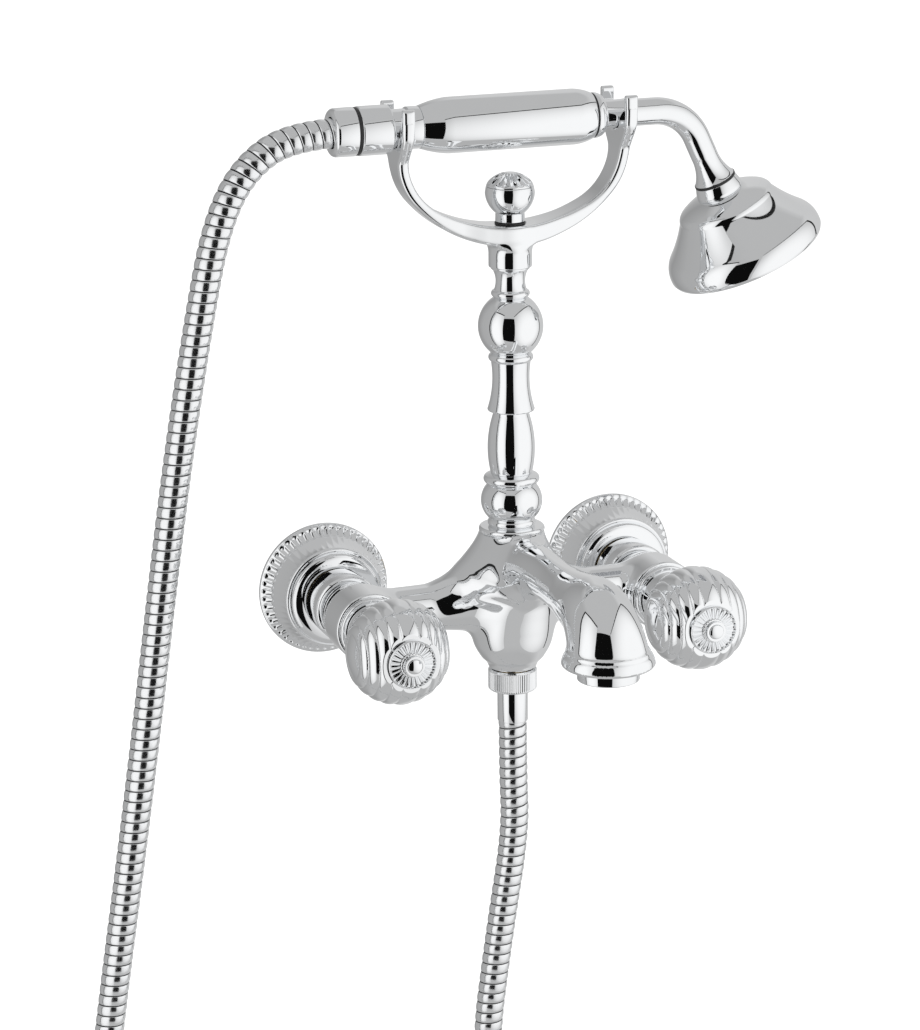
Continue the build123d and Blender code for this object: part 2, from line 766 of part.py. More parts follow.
# Column: three turned pieces stacked on the hub
with BuildPart() as column_lower:
    turned(
        column_plane(), column_axis,
        (column_bore, hub_top - spigot_depth),
        (chamber_radius - run_gap, hub_top - spigot_depth),
        (chamber_radius - run_gap, hub_top),
        (base_flange_radius - 0.8, hub_top),
        ((base_flange_radius, hub_top + base_flange / 2), (base_flange_radius - 0.8, base_top)),
        (base_bead_radius - 0.9, base_top),
        ((base_bead_radius, base_top + base_bead / 2), (base_bead_radius - 0.9, base_top + base_bead)),
        ((lower_ball_radius, lower_ball_height), (ring_radius - 2.6, ring_height - 2.4)),
        (ring_radius - 0.9, ring_height - 2.2),
        ((ring_radius, ring_height - 0.4), (ring_radius - 0.9, ring_height + 1.4)),
        (barrel_end_radius, barrel_bottom),
        (column_bore, barrel_bottom),
    )
column_lower.part.label = "column_lower"
export_step(column_lower.part, "parts/column_lower.step")

with BuildPart() as column_barrel:
    turned(
        column_plane(), column_axis,
        (column_bore, barrel_bottom),
        (barrel_end_radius, barrel_bottom),
        ((barrel_belly, barrel_belly_height), (barrel_waist, barrel_top - 1.6)),
        (barrel_waist, barrel_top),
        (column_bore, barrel_top),
    )
column_barrel.part.label = "column_barrel"
export_step(column_barrel.part, "parts/column_barrel.step")

with BuildPart() as column_upper:
    turned(
        column_plane(), column_axis,
        (column_bore, barrel_top),
        (lip_ring_radius - 0.8, barrel_top),
        ((lip_ring_radius, barrel_top + lip_ring / 2), (lip_ring_radius - 0.9, barrel_top + lip_ring)),
        ((column_waist, column_waist_height), (bead_radius - 1.4, bead_height - 2.0)),
        ((bead_radius, bead_height - 0.2), (bead_radius - 1.6, bead_height + 1.8)),
        ((ball_radius, ball_height), (top_bead_radius - 1.6, top_bead_height - 2.0)),
        ((top_bead_radius, top_bead_height - 0.4), (top_bead_radius - 1.4, top_bead_height + 1.4)),
        ((neck_waist, neck_waist_height), (column_top_radius - 0.8, column_top - 1.4)),
        (column_top_radius, column_top - 0.8),
        (column_top_radius, column_top),
        (column_bore, column_top),
    )
column_upper.part.label = "column_upper"
export_step(column_upper.part, "parts/column_upper.step")


# Cradle: a curved yoke with a fork at each end, on a collar
with BuildPart() as cradle:
    yoke_inner = yoke_half - yoke_thickness
    yoke_end = fork_foot + yoke_lap
    with BuildSketch(Plane(origin=(0, -column_reach, 0), x_dir=(1, 0, 0), z_dir=(0, -1, 0))):
        with BuildLine():
            for half_span, corner, sweep_angle, low in (
                (yoke_half, yoke_corner, yoke_corner_angle, yoke_bottom),
                (yoke_inner, yoke_inner_corner, yoke_inner_angle, yoke_top),
            ):
                right = JernArc((half_span, yoke_end), (0, -1), corner, -sweep_angle)
                left = JernArc((-half_span, yoke_end), (0, -1), corner, sweep_angle)
                ThreePointArc(right @ 1, (0, low), left @ 1)
            Line((yoke_inner, yoke_end), (yoke_half, yoke_end))
            Line((-yoke_inner, yoke_end), (-yoke_half, yoke_end))
        make_face()
    extrude(amount=yoke_depth / 2, both=True)
    turned(
        column_plane(), column_axis,
        (0, column_top),
        (cradle_collar_radius, column_top),
        (cradle_collar_radius, column_top + cradle_collar),
        ((cradle_collar_radius + 0.9, yoke_bottom - 1.0), (cradle_collar_radius + 3.2, yoke_bottom + 1.6)),
        (0, yoke_bottom + 1.6),
    )
    for sign, seat_radius in ((-1, left_neck_radius + seat_gap), (1, spool_radius + seat_gap)):
        prong = fork_gap + fork_wall
        half = yoke_depth / 2
        with BuildSketch(Plane(origin=(sign * fork_middle, -column_reach, 0), x_dir=(0, 1, 0), z_dir=(1, 0, 0))):
            with BuildLine():
                outline(
                    (-half, fork_foot),
                    (half, fork_foot),
                    ((half + 1.8, fork_foot + fork_curl), (prong - 1.4, fork_foot + fork_swell)),
                    (prong, fork_foot + fork_spread),
                    (prong, fork_top - fork_wall / 2),
                    ((prong - fork_wall / 2, fork_top), (fork_gap, fork_top - fork_wall / 2)),
                    (fork_gap, handset_height + 4.0),
                    (seat_radius, handset_height - 1.0),
                    ((0, handset_height - seat_radius), (-seat_radius, handset_height - 1.0)),
                    (-fork_gap, handset_height + 4.0),
                    (-fork_gap, fork_top - fork_wall / 2),
                    ((-prong + fork_wall / 2, fork_top), (-prong, fork_top - fork_wall / 2)),
                    (-prong, fork_foot + fork_spread),
                    (-prong + 1.4, fork_foot + fork_swell),
                    ((-half - 1.8, fork_foot + fork_curl), (-half, fork_foot)),
                )
            make_face()
        extrude(amount=fork_width / 2, both=True)
    turned(column_plane(), column_axis, *tube(0, rod_radius + run_gap, column_top, yoke_top + 1.0), mode=Mode.SUBTRACT)
    turned(column_plane(), column_axis, *tube(0, gland_radius, yoke_top - gland_depth, yoke_top), mode=Mode.SUBTRACT)
    turned(column_plane(), column_axis, *tube(0, gland_flange_radius + seat_gap, yoke_top, yoke_top + 4.0), mode=Mode.SUBTRACT)
cradle.part.label = "cradle"
export_step(cradle.part, "parts/cradle.step")

# Rubber gland round the rod, with a ring that shows under the pull knob
with BuildPart() as cradle_gland:
    turned(
        column_plane(), column_axis,
        (rod_radius + run_gap, yoke_top - gland_depth),
        (gland_radius, yoke_top - gland_depth),
        (gland_radius, yoke_top),
        (gland_flange_radius, yoke_top),
        (gland_flange_radius, yoke_top + gland_flange),
        (rod_radius + run_gap, yoke_top + gland_flange),
    )
cradle_gland.part.label = "cradle_gland"
export_step(cradle_gland.part, "parts/cradle_gland.step")


# Diverter: knob, cap, rod and valve lift together
valve_bottom = chamber_floor + seat_gap
with BuildPart() as diverter_rod:
    turned(column_plane(), column_axis, *tube(0, rod_radius, valve_bottom, pull_widest))
diverter_rod.part.label = "diverter_rod"
export_step(diverter_rod.part, "parts/diverter_rod.step")

with BuildPart() as diverter_valve:
    turned(column_plane(), column_axis, *tube(rod_radius + run_gap, valve_radius, valve_bottom, valve_bottom + valve_height))
diverter_valve.part.label = "diverter_valve"
export_step(diverter_valve.part, "parts/diverter_valve.step")

with BuildPart() as diverter_knob:
    turned(
        column_plane(), column_axis,
        (rod_radius + run_gap, pull_foot),
        (pull_neck_radius, pull_foot),
        (pull_neck_radius, pull_foot + pull_neck),
        ((pull_radius - 1.5, pull_widest - 5.2), (pull_radius, pull_widest)),
        (pull_radius - 0.2, pull_cap_foot),
        (0, pull_cap_foot),
        (0, pull_widest),
        (rod_radius + run_gap, pull_widest),
    )
diverter_knob.part.label = "diverter_knob"
export_step(diverter_knob.part, "parts/diverter_knob.step")

with BuildPart() as diverter_cap:
    turned(
        column_plane(), column_axis,
        (0, pull_cap_foot),
        (pull_radius - pull_rim, pull_cap_foot),
        (pull_radius - pull_rim, pull_cap_foot + pull_cap_edge),
        dome(pull_radius - pull_rim, pull_cap_foot + pull_cap_edge, pull_dome_top),
    )
    hollows(
        column_axis, pull_flutes,
        (pull_radius * 0.4, pull_dome_top - pull_flute_cut / 3),
        (pull_radius - pull_rim - pull_cap_edge, pull_cap_foot + pull_cap_edge + pull_flute_cut),
        pull_flute_cut / 2, pull_flute_cut,
    )
diverter_cap.part.label = "diverter_cap"
export_step(diverter_cap.part, "parts/diverter_cap.step")


# Handset, turned about the handle's axis
hose_start = hose_nut_right - hose_nut_floor
with BuildPart() as hose_nut_upper:
    turned(
        handle_plane(), handle_axis,
        (hose_nut_left, hose_radius + seat_gap),
        (hose_nut_left, hose_nut_mouth),
        ((hose_nut_left + 5.0, hose_nut_radius - 1.0), (hose_nut_right - 3.0, hose_nut_radius)),
        (hose_nut_right, hose_nut_radius),
        (hose_nut_right, hose_bore),
        (hose_start, hose_bore),
        (hose_start, hose_radius + seat_gap),
    )
hose_nut_upper.part.label = "hose_nut_upper"
export_step(hose_nut_upper.part, "parts/hose_nut_upper.step")

with BuildPart() as hose_washer_upper:
    turned(
        handle_plane(), handle_axis,
        (hose_nut_right, hose_bore),
        (hose_nut_right, hose_nut_radius - 0.8),
        (tail_left, hose_nut_radius - 0.8),
        (tail_left, hose_bore),
    )
hose_washer_upper.part.label = "hose_washer_upper"
export_step(hose_washer_upper.part, "parts/hose_washer_upper.step")

with BuildPart() as handset_tail:
    turned(
        handle_plane(), handle_axis,
        (tail_left, tube_bore),
        (tail_left, tail_piece_radius - 0.5),
        (tail_left + 0.5, tail_piece_radius),
        (tail_right - 0.8, tail_piece_radius),
        (tail_right, tail_piece_radius - 0.8),
        (tail_right, left_neck_radius),
        (left_ring_left, left_neck_radius),
        (left_ring_left, tube_radius + run_gap),
        (tube_left, tube_radius + run_gap),
        (tube_left, tube_bore),
    )
handset_tail.part.label = "handset_tail"
export_step(handset_tail.part, "parts/handset_tail.step")

with BuildPart() as grip_ring_left:
    turned(
        handle_plane(), handle_axis,
        (left_ring_left, tube_radius + run_gap),
        (left_ring_left, left_ring_radius - 0.6),
        (left_ring_left + 0.6, left_ring_radius),
        (left_ring_right - 0.4, left_ring_radius),
        (left_ring_right, left_ring_radius - 0.4),
        (left_ring_right, tube_radius + run_gap),
    )
grip_ring_left.part.label = "grip_ring_left"
export_step(grip_ring_left.part, "parts/grip_ring_left.step")

with BuildPart() as handset_grip:
    turned(
        handle_plane(), handle_axis,
        (left_ring_right, tube_radius + run_gap),
        (left_ring_right, left_ring_radius),
        ((left_ring_right + 6.2, grip_radius - 1.3), (grip_full_left, grip_radius)),
        (grip_full_right, grip_radius),
        ((grip_full_right + 5.0, grip_radius - 0.8), (grip_right, grip_end_radius)),
        (grip_right, tube_radius + run_gap),
    )
handset_grip.part.label = "handset_grip"
export_step(handset_grip.part, "parts/handset_grip.step")

cap_left = grip_right + right_ring
with BuildPart() as grip_ring_right:
    turned(
        handle_plane(), handle_axis,
        (grip_right, tube_radius + run_gap),
        (grip_right, grip_end_radius - 0.5),
        (cap_left, grip_end_radius - 0.5),
        (cap_left, tube_radius + run_gap),
    )
grip_ring_right.part.label = "grip_ring_right"
export_step(grip_ring_right.part, "parts/grip_ring_right.step")

with BuildPart() as grip_end:
    turned(
        handle_plane(), handle_axis,
        (cap_left, tube_radius + run_gap),
        (cap_left, grip_end_radius - 0.2),
        ((cap_left + 3.4, grip_end_radius - 1.0), (grip_end_right, spool_radius + 0.6)),
        (grip_end_right, tube_radius + run_gap),
    )
grip_end.part.label = "grip_end"
export_step(grip_end.part, "parts/grip_end.step")

# Neck: a tube through the grip, a spool in the fork, then a bend down to the head
with BuildPart() as handset_neck:
    half_turn = radians(neck_turn / 2)
    neck_end = tuple(e + neck_tail * d for e, d in zip(bend_end, neck_down))
    with BuildLine():
        Line((spool_right, -column_reach, handset_height), (neck_straight, -column_reach, handset_height))
        ThreePointArc(
            (neck_straight, -column_reach, handset_height),
            (
                neck_straight + neck_bend * sin(half_turn),
                -column_reach,
                handset_height - neck_bend * (1 - cos(half_turn)),
            ),
            bend_end,
        )
        Line(bend_end, neck_end)
    with BuildSketch(Plane(origin=(spool_right, -column_reach, handset_height), x_dir=(0, 1, 0), z_dir=(1, 0, 0))):
        Circle(neck_radius)
        Circle(tube_bore, mode=Mode.SUBTRACT)
    sweep()
    turned(
        handle_plane(), handle_axis,
        (tube_left, tube_bore),
        (tube_left, tube_radius),
        (grip_end_right, tube_radius),
        (grip_end_right, spool_radius),
        (spool_right, spool_radius),
        (spool_right + 0.8, neck_radius),
        (spool_right + 0.8, tube_bore),
    )
    foot_height = head_drop - neck_tail
    turned(
        head_plane(), head_axis,
        (tube_bore, foot_height),
        (neck_foot_radius, foot_height),
        ((neck_radius + 0.9, foot_height + neck_foot * 0.4), (neck_radius, foot_height + neck_foot)),
        (tube_bore, foot_height + neck_foot),
    )
handset_neck.part.label = "handset_neck"
export_step(handset_neck.part, "parts/handset_neck.step")

with BuildPart() as gasket:
    turned(head_plane(), head_axis, *tube(tube_bore, neck_foot_radius + 0.4, head_top + head_collar, foot_height))
gasket.part.label = "head_gasket"
export_step(gasket.part, "parts/head_gasket.step")

with BuildPart() as collar:
    turned(
        head_plane(), head_axis,
        (tube_bore, head_top),
        (head_collar_radius, head_top),
        (head_collar_radius, head_top + 1.6),
        (head_collar_radius - 1.3, head_top + head_collar),
        (tube_bore, head_top + head_collar),
    )
collar.part.label = "head_collar"
export_step(collar.part, "parts/head_collar.step")

# Bell-shaped head with a recessed spray plate
plate_top = spray_recess + spray_thickness
with BuildPart() as shower_head:
    turned(
        head_plane(), head_axis,
        (tube_bore, head_top),
        (head_top_radius, head_top),
        ((head_top_radius + 5.6, head_top - 1.7), (head_shoulder_radius - 2.4, head_shoulder + 3.6)),
        ((head_shoulder_radius - 0.8, head_shoulder + 2.2), (head_shoulder_radius, head_shoulder)),
        ((head_shoulder_radius + 5.4, head_shoulder - 8.2), (head_radius - 3.9, 12.0)),
        ((head_radius - 0.8, 7.4), (head_radius, 3.6)),
        (head_radius, 1.6),
        (head_radius - 0.8, 0),
        (spray_radius + 1.4, 0),
        (spray_radius + run_gap, spray_recess),
        (spray_radius + run_gap, plate_top),
        (spray_radius - 2.0, plate_top),
        (head_shoulder_radius - 3.4, head_shoulder - 5.0),
        (head_top_radius - 1.0, head_top - 4.0),
        (tube_bore, head_top - 4.0),
    )
shower_head.part.label = "shower_head"
export_step(shower_head.part, "parts/shower_head.step")

with BuildPart() as spray_plate:
    turned(head_plane(), head_axis, *tube(0, spray_radius, spray_recess, plate_top))
spray_plate.part.label = "spray_plate"
export_step(spray_plate.part, "parts/spray_plate.step")


# Hose: the points of its route from the handset down, round a free loop and up to the outlet, across the wall and up
hose_route = (
    (hose_start, handset_height),
    (hose_start - 25.6, handset_height),
    (-128.3, handset_height - 13.0),
    (-142.2, handset_height - 37.0),
    (-152.0, handset_height - 80.0),
    (-167.4, handset_height - 165.0),
    (-187.4, -70.0),
    (-206.4, -188.0),
    (-219.0, -282.0),
    (-223.0, -374.0),
    (-211.0, -458.0),
    (-178.0, -525.0),
    (-117.0, -559.0),
    (-54.0, -538.0),
    (-17.0, -482.0),
    (-3.0, -400.0),
    (-8.0, -312.0),
    (-16.5, -232.0),
    (-7.5, -166.0),
    (1.2, -114.0),
    (0, ferrule_bottom - 27.0),
    (0, ferrule_bottom),
)
corners = [Vector(x, -column_reach, z) for x, z in hose_route]
runs = [b - a for a, b in zip(corners, corners[1:])]
bends = []
for before, after in zip(runs, runs[1:]):
    half_turn = radians(before.get_angle(after)) / 2
    bends.append(0.45 * min(before.length, after.length) / tan(half_turn))
print("hose bends", [round(bend) for bend in bends])

with BuildPart() as hose:
    with BuildLine() as hose_path:
        FilletPolyline(*corners, radius=bends)
    route = hose_path.wire()
    pitch = (route.length - 2 * hose_end) / hose_ribs
    print("hose length", round(route.length, 1), "rib pitch", round(pitch, 2))
    steps = [(0.0, hose_root), (hose_end, hose_root)]
    for rib in range(hose_ribs):
        start = hose_end + rib * pitch
        steps.append((start + rib_slope, hose_radius))
        steps.append((start + pitch - rib_gap - rib_slope, hose_radius))
        steps.append((start + pitch - rib_gap, hose_root))
        steps.append((start + pitch, hose_root))
    steps.append((route.length, hose_root))
    for at, radius in steps:
        share = at / route.length
        with BuildSketch(Plane(origin=route @ share, x_dir=(0, 1, 0), z_dir=route % share)):
            Circle(radius)
    loft(ruled=True)
    with BuildSketch(Plane(origin=route @ 0, x_dir=(0, 1, 0), z_dir=route % 0)):
        Circle(hose_bore)
    sweep(path=route, mode=Mode.SUBTRACT)
hose.part.label = "hose"
export_step(hose.part, "parts/hose.step")
print("hose volume", round(hose.part.volume), "of", round(pi * (hose_radius ** 2 - hose_bore ** 2) * route.length))
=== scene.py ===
# %% [markdown]
# # A wall bath mixer in polished chrome
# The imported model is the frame: every node has its place, and the bodies already move.
# What it lacks is the look of polished metal. Chrome has no colour of its own, so what is
# seen on it is the room, and a mirror shows every flat facet of the mesh that carries it.
# Loading the frame comes first, because each new piece takes its place from it.

# %% Load the frame
import json
from math import ceil, cos, pi, radians, sin, sqrt

import bpy
import numpy as np
from mathutils import Matrix


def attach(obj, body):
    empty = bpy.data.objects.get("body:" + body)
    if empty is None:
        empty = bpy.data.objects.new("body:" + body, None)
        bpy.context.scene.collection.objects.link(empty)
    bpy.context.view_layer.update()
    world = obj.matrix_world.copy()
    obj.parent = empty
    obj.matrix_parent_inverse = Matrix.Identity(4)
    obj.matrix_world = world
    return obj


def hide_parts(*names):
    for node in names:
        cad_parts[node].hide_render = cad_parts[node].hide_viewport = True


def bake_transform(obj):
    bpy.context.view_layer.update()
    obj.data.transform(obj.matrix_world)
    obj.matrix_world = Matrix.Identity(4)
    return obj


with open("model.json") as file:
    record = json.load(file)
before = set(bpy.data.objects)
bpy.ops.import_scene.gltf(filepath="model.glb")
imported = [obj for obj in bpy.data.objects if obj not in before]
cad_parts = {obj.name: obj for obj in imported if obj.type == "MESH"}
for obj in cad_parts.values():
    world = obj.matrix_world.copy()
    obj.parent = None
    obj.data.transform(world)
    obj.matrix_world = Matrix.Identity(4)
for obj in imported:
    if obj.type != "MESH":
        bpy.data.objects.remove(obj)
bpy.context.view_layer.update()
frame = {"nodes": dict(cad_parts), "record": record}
scene = bpy.context.scene

# %% [markdown]
# # Camera
# The photograph was taken from the left and from above with a long lens. The camera could be
# set by eye, but here its angles were worked out from pieces whose size is known: the inlets
# 150 mm apart, the column and the two ends of the cradle. A long lens is a camera far away.

# %% Camera
IMAGE = (920, 1030)            # the photograph's frame, in pixels
FOCAL_PIXELS = 3871.3
SENSOR = 36.0
TURN, DIP, ROLL = radians(19.484), radians(15.362), radians(-0.525)
AIM = np.array([-20.904, -50.0, 43.943])
AWAY = 1860.2                  # mm from the camera to the point it aims at

sight = np.array([sin(TURN) * cos(DIP), cos(TURN) * cos(DIP), -sin(DIP)])
level = np.array([cos(TURN), -sin(TURN), 0.0])
above = np.cross(level, sight)
right = cos(ROLL) * level + sin(ROLL) * above
top = cos(ROLL) * above - sin(ROLL) * level
eye = (AIM - sight * AWAY) / 1000

lens = bpy.data.cameras.new("camera")
lens.sensor_fit = "VERTICAL"
lens.sensor_height = lens.sensor_width = SENSOR
lens.lens = FOCAL_PIXELS / IMAGE[1] * SENSOR
lens.clip_start, lens.clip_end = 0.05, 60.0
camera = bpy.data.objects.new("camera", lens)
camera.matrix_world = Matrix(np.c_[right, top, -sight, eye].tolist() + [[0, 0, 0, 1]])
scene.collection.objects.link(camera)
scene.camera = camera
print("lens", round(lens.lens, 1), "mm at", [round(v, 3) for v in eye.tolist()])

# %% [markdown]
# # Chrome
# Real chrome plating is a thin layer that gives back about as much of every colour, a little
# less of the red. A metal surface with almost no roughness does that. Hands and polishing
# leave it uneven, so a slow noise moves the roughness a little. The strip that the hose is
# wound from is rolled and not polished, so its chrome is duller.

# %% Shader nodes
def feed(node, inputs):
    """Sets inputs of a shader node. Each is a value, or the output of a node that is linked to it."""
    for name, given in inputs.items():
        if isinstance(given, bpy.types.NodeSocket):
            node.id_data.links.new(given, node.inputs[name])
        else:
            node.inputs[name].default_value = given


def add(tree, kind, inputs=None, **settings):
    """A new node in a shader, with its settings and its inputs."""
    node = tree.nodes.new("ShaderNode" + kind)
    for name, value in settings.items():
        setattr(node, name, value)
    feed(node, inputs or {})
    return node


# %% Materials
DARKER = 0.97                  # share of the colour that is left where the noise is lowest


def material(name, colour, metallic=0.0, rough=0.3, spread=0.05, grain=40.0, relief=0.0):
    """One plastic, rubber or metal. Noise of `grain` cells per metre moves the roughness by
    `spread` about `rough`, and lifts the surface by `relief` metres."""
    made = bpy.data.materials.new(name)
    made.use_nodes = True
    tree = made.node_tree
    shader = tree.nodes["Principled BSDF"]
    place = add(tree, "TexCoord")
    noise = add(tree, "TexNoise", {"Vector": place.outputs["Object"], "Scale": grain, "Detail": 3.0})
    cloud = noise.outputs["Fac"]
    wear = add(tree, "MapRange", {"Value": cloud, "To Min": max(rough - spread, 0.0), "To Max": rough + spread})
    darker = [DARKER * part for part in colour]
    tint = add(tree, "MixRGB", {"Fac": cloud, "Color1": (*darker, 1), "Color2": (*colour, 1)})
    feed(shader, {"Metallic": metallic, "Roughness": wear.outputs["Result"]})
    feed(shader, {"Base Color": tint.outputs["Color"]})
    if relief:
        bump = add(tree, "Bump", {"Height": cloud, "Distance": relief, "Strength": 1.0})
        feed(shader, {"Normal": bump.outputs["Normal"]})
    return made


# Each line gives name, colour, metallic, roughness and its spread, grain of the noise, relief.
wound_chrome = material("wound_strip_chrome", (0.90, 0.91, 0.92), 1.0, 0.17, 0.05, 220.0)
FINISH = {
    "chrome": material("polished_chrome", (0.93, 0.94, 0.95), 1.0, 0.03, 0.015, 60.0),
    "brass": material("machined_brass", (0.72, 0.56, 0.30), 1.0, 0.28, 0.08, 400.0, 2e-5),
    "black_rubber": material("black_rubber", (0.012, 0.012, 0.013), 0.0, 0.45, 0.12, 300.0, 4e-5),
    "white_plastic": material("white_plastic", (0.82, 0.82, 0.80), 0.0, 0.4, 0.05, 200.0),
    "grey_plastic": material("grey_plastic", (0.50, 0.51, 0.53), 0.0, 0.35, 0.05, 300.0, 2e-5),
    "ceramic": material("ground_ceramic", (0.86, 0.84, 0.79), 0.0, 0.25, 0.05, 500.0),
}
record = frame["record"]
slot_of = {part["node"]: part["material_slot"] for part in record["subparts"]}
body_of = {node: body for body, nodes in record["behaviour"]["bodies"].items() for node in nodes}
for node, solid in frame["nodes"].items():
    solid.data.materials.clear()
    solid.data.materials.append(FINISH[slot_of[node]])
print(len(FINISH), "finishes on", len(slot_of), "nodes")

# %% [markdown]
# # From a grid of points to a mesh
# Every piece below is a grid of points, worked out as whole arrays. Blender could smooth the
# shading from the faces alone, but next to a narrow face that bends the mirror. So the true
# direction of the surface is worked out from the grid too, and handed to the mesh.

# %% Grid to mesh
def unit(vectors, least=1e-12):
    """Vectors divided by their own length."""
    return vectors / np.maximum(np.linalg.norm(vectors, axis=-1, keepdims=True), least)


def shorter_counts_more(grid, axis, closed=True):
    """Direction along one side of the grid: the two steps at each point, each divided by its own
    length twice. Only the rows, axis 0, may be open."""
    ahead = np.roll(grid, -1, axis) - grid
    if not closed:
        ahead[-1] = ahead[-2]
    behind = np.roll(ahead, 1, axis)
    if not closed:
        behind[0] = ahead[0]
    return sum(step / np.maximum((step ** 2).sum(-1, keepdims=True), 1e-12) for step in (ahead, behind))


def mesh_piece(name, points, faces, normals, node, finish=None):
    """Mesh from points in mm. It is turned right side out by the sign of its volume, takes the
    node's place and body, and wears its finish."""
    quads = np.array([face for face in faces if len(face) == 4])
    p = (points - points.mean(0))[quads]
    leaning = np.cross(p[:, 2] - p[:, 0], p[:, 3] - p[:, 1])
    if np.einsum("ij,ij->", p[:, 0], np.cross(p[:, 1], p[:, 2]) + np.cross(p[:, 2], p[:, 3])) < 0:
        faces, leaning = [face[::-1] for face in faces], -leaning
    if np.einsum("ij,ij->", leaning, normals[quads[:, 0]]) < 0:
        normals = -normals
    mesh = bpy.data.meshes.new(name)
    mesh.from_pydata((points / 1000).tolist(), [], faces)
    mesh.shade_smooth()
    mesh.normals_split_custom_set_from_vertices(normals.tolist())
    mesh.materials.append(finish or FINISH[slot_of[node]])
    piece = bpy.data.objects.new(name, mesh)
    scene.collection.objects.link(piece)
    if node != "hose":
        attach(piece, body_of[node])
    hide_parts(node)
    print(name, len(points), "points", len(faces), "faces")
    return piece


def grid_faces(rows, columns, loop):
    """Four corners of each face between neighbouring rows and columns. Columns close on themselves,
    and rows do when `loop` is set."""
    number = np.arange(rows * columns).reshape(rows, columns)
    if loop:
        number = np.vstack([number, number[:1]])
    a, b = number[:-1], number[1:]
    return np.stack([a, b, np.roll(b, -1, 1), np.roll(a, -1, 1)], -1).reshape(-1, 4).tolist()


def grid_piece(name, grid, loop, node):
    """Mesh of a grid (rows, columns, 3) in mm. Without `loop` each end is one flat face."""
    rows, columns = grid.shape[:2]
    facing = unit(np.cross(shorter_counts_more(grid, 0, loop), shorter_counts_more(grid, 1)))
    faces = grid_faces(rows, columns, loop)
    if not loop:
        last = (rows - 1) * columns
        faces += [list(range(columns)), list(range(last + columns - 1, last - 1, -1))]
    return mesh_piece(name, grid.reshape(-1, 3), faces, facing.reshape(-1, 3), node)

# %% [markdown]
# # Turned pieces
# Most of a mixer is turned on a lathe: rings, balls, waists and beads. A turned piece is its
# profile, carried round an axis. The profile is a list of steps: a point means a straight
# edge, and a pair of points means an arc through the first to the second. Polishing rounds
# every edge a little, and that small round is what catches the light, so each corner gets one.

# %% Profiles
EDGE = 0.28                    # mm, round that polishing leaves on an edge
ARC_STEP = 0.5                 # mm between points on an arc
STRAIGHT_ON = -0.97            # cosine of the angle at which two edges no longer make a corner
NEARLY_AXIS = 0.02             # mm, radius of the tiny flat that ends a full solid


def arc(start, middle, end):
    """Points on the circle through three points. The centre comes from complex numbers, where a
    turn is a product."""
    a, b, c = complex(*start), complex(*middle), complex(*end)
    w = (c - a) / (b - a)
    if abs(w.imag) < 1e-6:
        return np.array([start, end], float)
    centre = (b - a) * (w - abs(w) ** 2) / (2j * w.imag) + a
    spoke = a - centre
    to_b = np.angle((b - centre) / spoke) % (2 * pi)
    to_c = np.angle((c - centre) / spoke) % (2 * pi)
    sweep = to_c if to_b < to_c else to_c - 2 * pi
    count = max(5, ceil(abs(sweep * spoke) / ARC_STEP), ceil(abs(sweep) / radians(5)))
    z = centre + spoke * np.exp(1j * np.linspace(0, sweep, count + 1))
    return np.c_[z.real, z.imag]


def profile(*steps, edge=EDGE, closed=True):
    """Points of a profile (radius, height) with every corner rounded: the corner becomes a small
    curve between two points just before and after it."""
    runs, here = [], steps[0]
    for step in steps[1:] + ((steps[0],) if closed else ()):
        if isinstance(step[0], tuple):
            runs.append(arc(here, *step))
            here = step[1]
        elif step != here:
            runs.append(np.array([here, step], float))
            here = step
    points, corners = [], []
    for run in runs:
        corners.append(len(points))
        points += run[:-1].tolist()
    if not closed:
        corners.append(len(points))
        points.append(runs[-1][-1].tolist())
    points = np.array(points)
    out = []
    for i, p in enumerate(points):
        inner = closed or 0 < i < len(points) - 1
        if i in corners and inner:
            back, on = points[i - 1] - p, points[(i + 1) % len(points)] - p
            lb, lo = np.hypot(*back), np.hypot(*on)
            if back @ on / (lb * lo) > STRAIGHT_ON:
                cut = min(edge, 0.45 * lb, 0.45 * lo)
                t = np.linspace(0, 1, 6)[:, None]
                a, c = p + back / lb * cut, p + on / lo * cut
                out += ((1 - t) ** 2 * a + 2 * t * (1 - t) * p + t ** 2 * c).tolist()
                continue
        out.append(p.tolist())
    return np.array(out)


def between(a, b, count):
    """Even points inside the straight edge from a to b, so that a face can be cut by `shape`."""
    return [tuple(point) for point in np.linspace(a, b, count + 2)[1:-1].tolist()]


def along_inlet(x):
    """Origin and axis of a tap: the height of a profile is then the distance from the wall."""
    return (x, 0, 0), (0, -1, 0)


COLUMN_REACH, HANDSET_HEIGHT, SPOUT_REACH = 65.0, 236.0, 190.0
COLUMN = (0, -COLUMN_REACH, 0), (0, 0, 1)
HANDLE = (0, -COLUMN_REACH, HANDSET_HEIGHT), (1, 0, 0)
MOUTH = (0, -SPOUT_REACH, 0), (0, 0, 1)


def turn(where, points, columns=144, shape=None):
    """Grid of a profile carried round an axis: origin + height * axis + radius * (cos * one side +
    sin * the other). `shape` may move radius and height by the angle."""
    origin, axis = np.array(where[0], float), np.array(where[1], float)
    side = np.array([0, 1, 0]) if abs(axis[1]) < 0.5 else np.array([1, 0, 0])
    other = np.cross(axis, side)
    angle = np.linspace(0, 2 * pi, columns, endpoint=False)[None, :]
    radius, height = points[:, :1] + 0 * angle, points[:, 1:] + 0 * angle
    if shape:
        radius, height = shape(radius, height, angle)
    ring = np.cos(angle)[..., None] * side + np.sin(angle)[..., None] * other
    return origin + height[..., None] * axis + radius[..., None] * ring


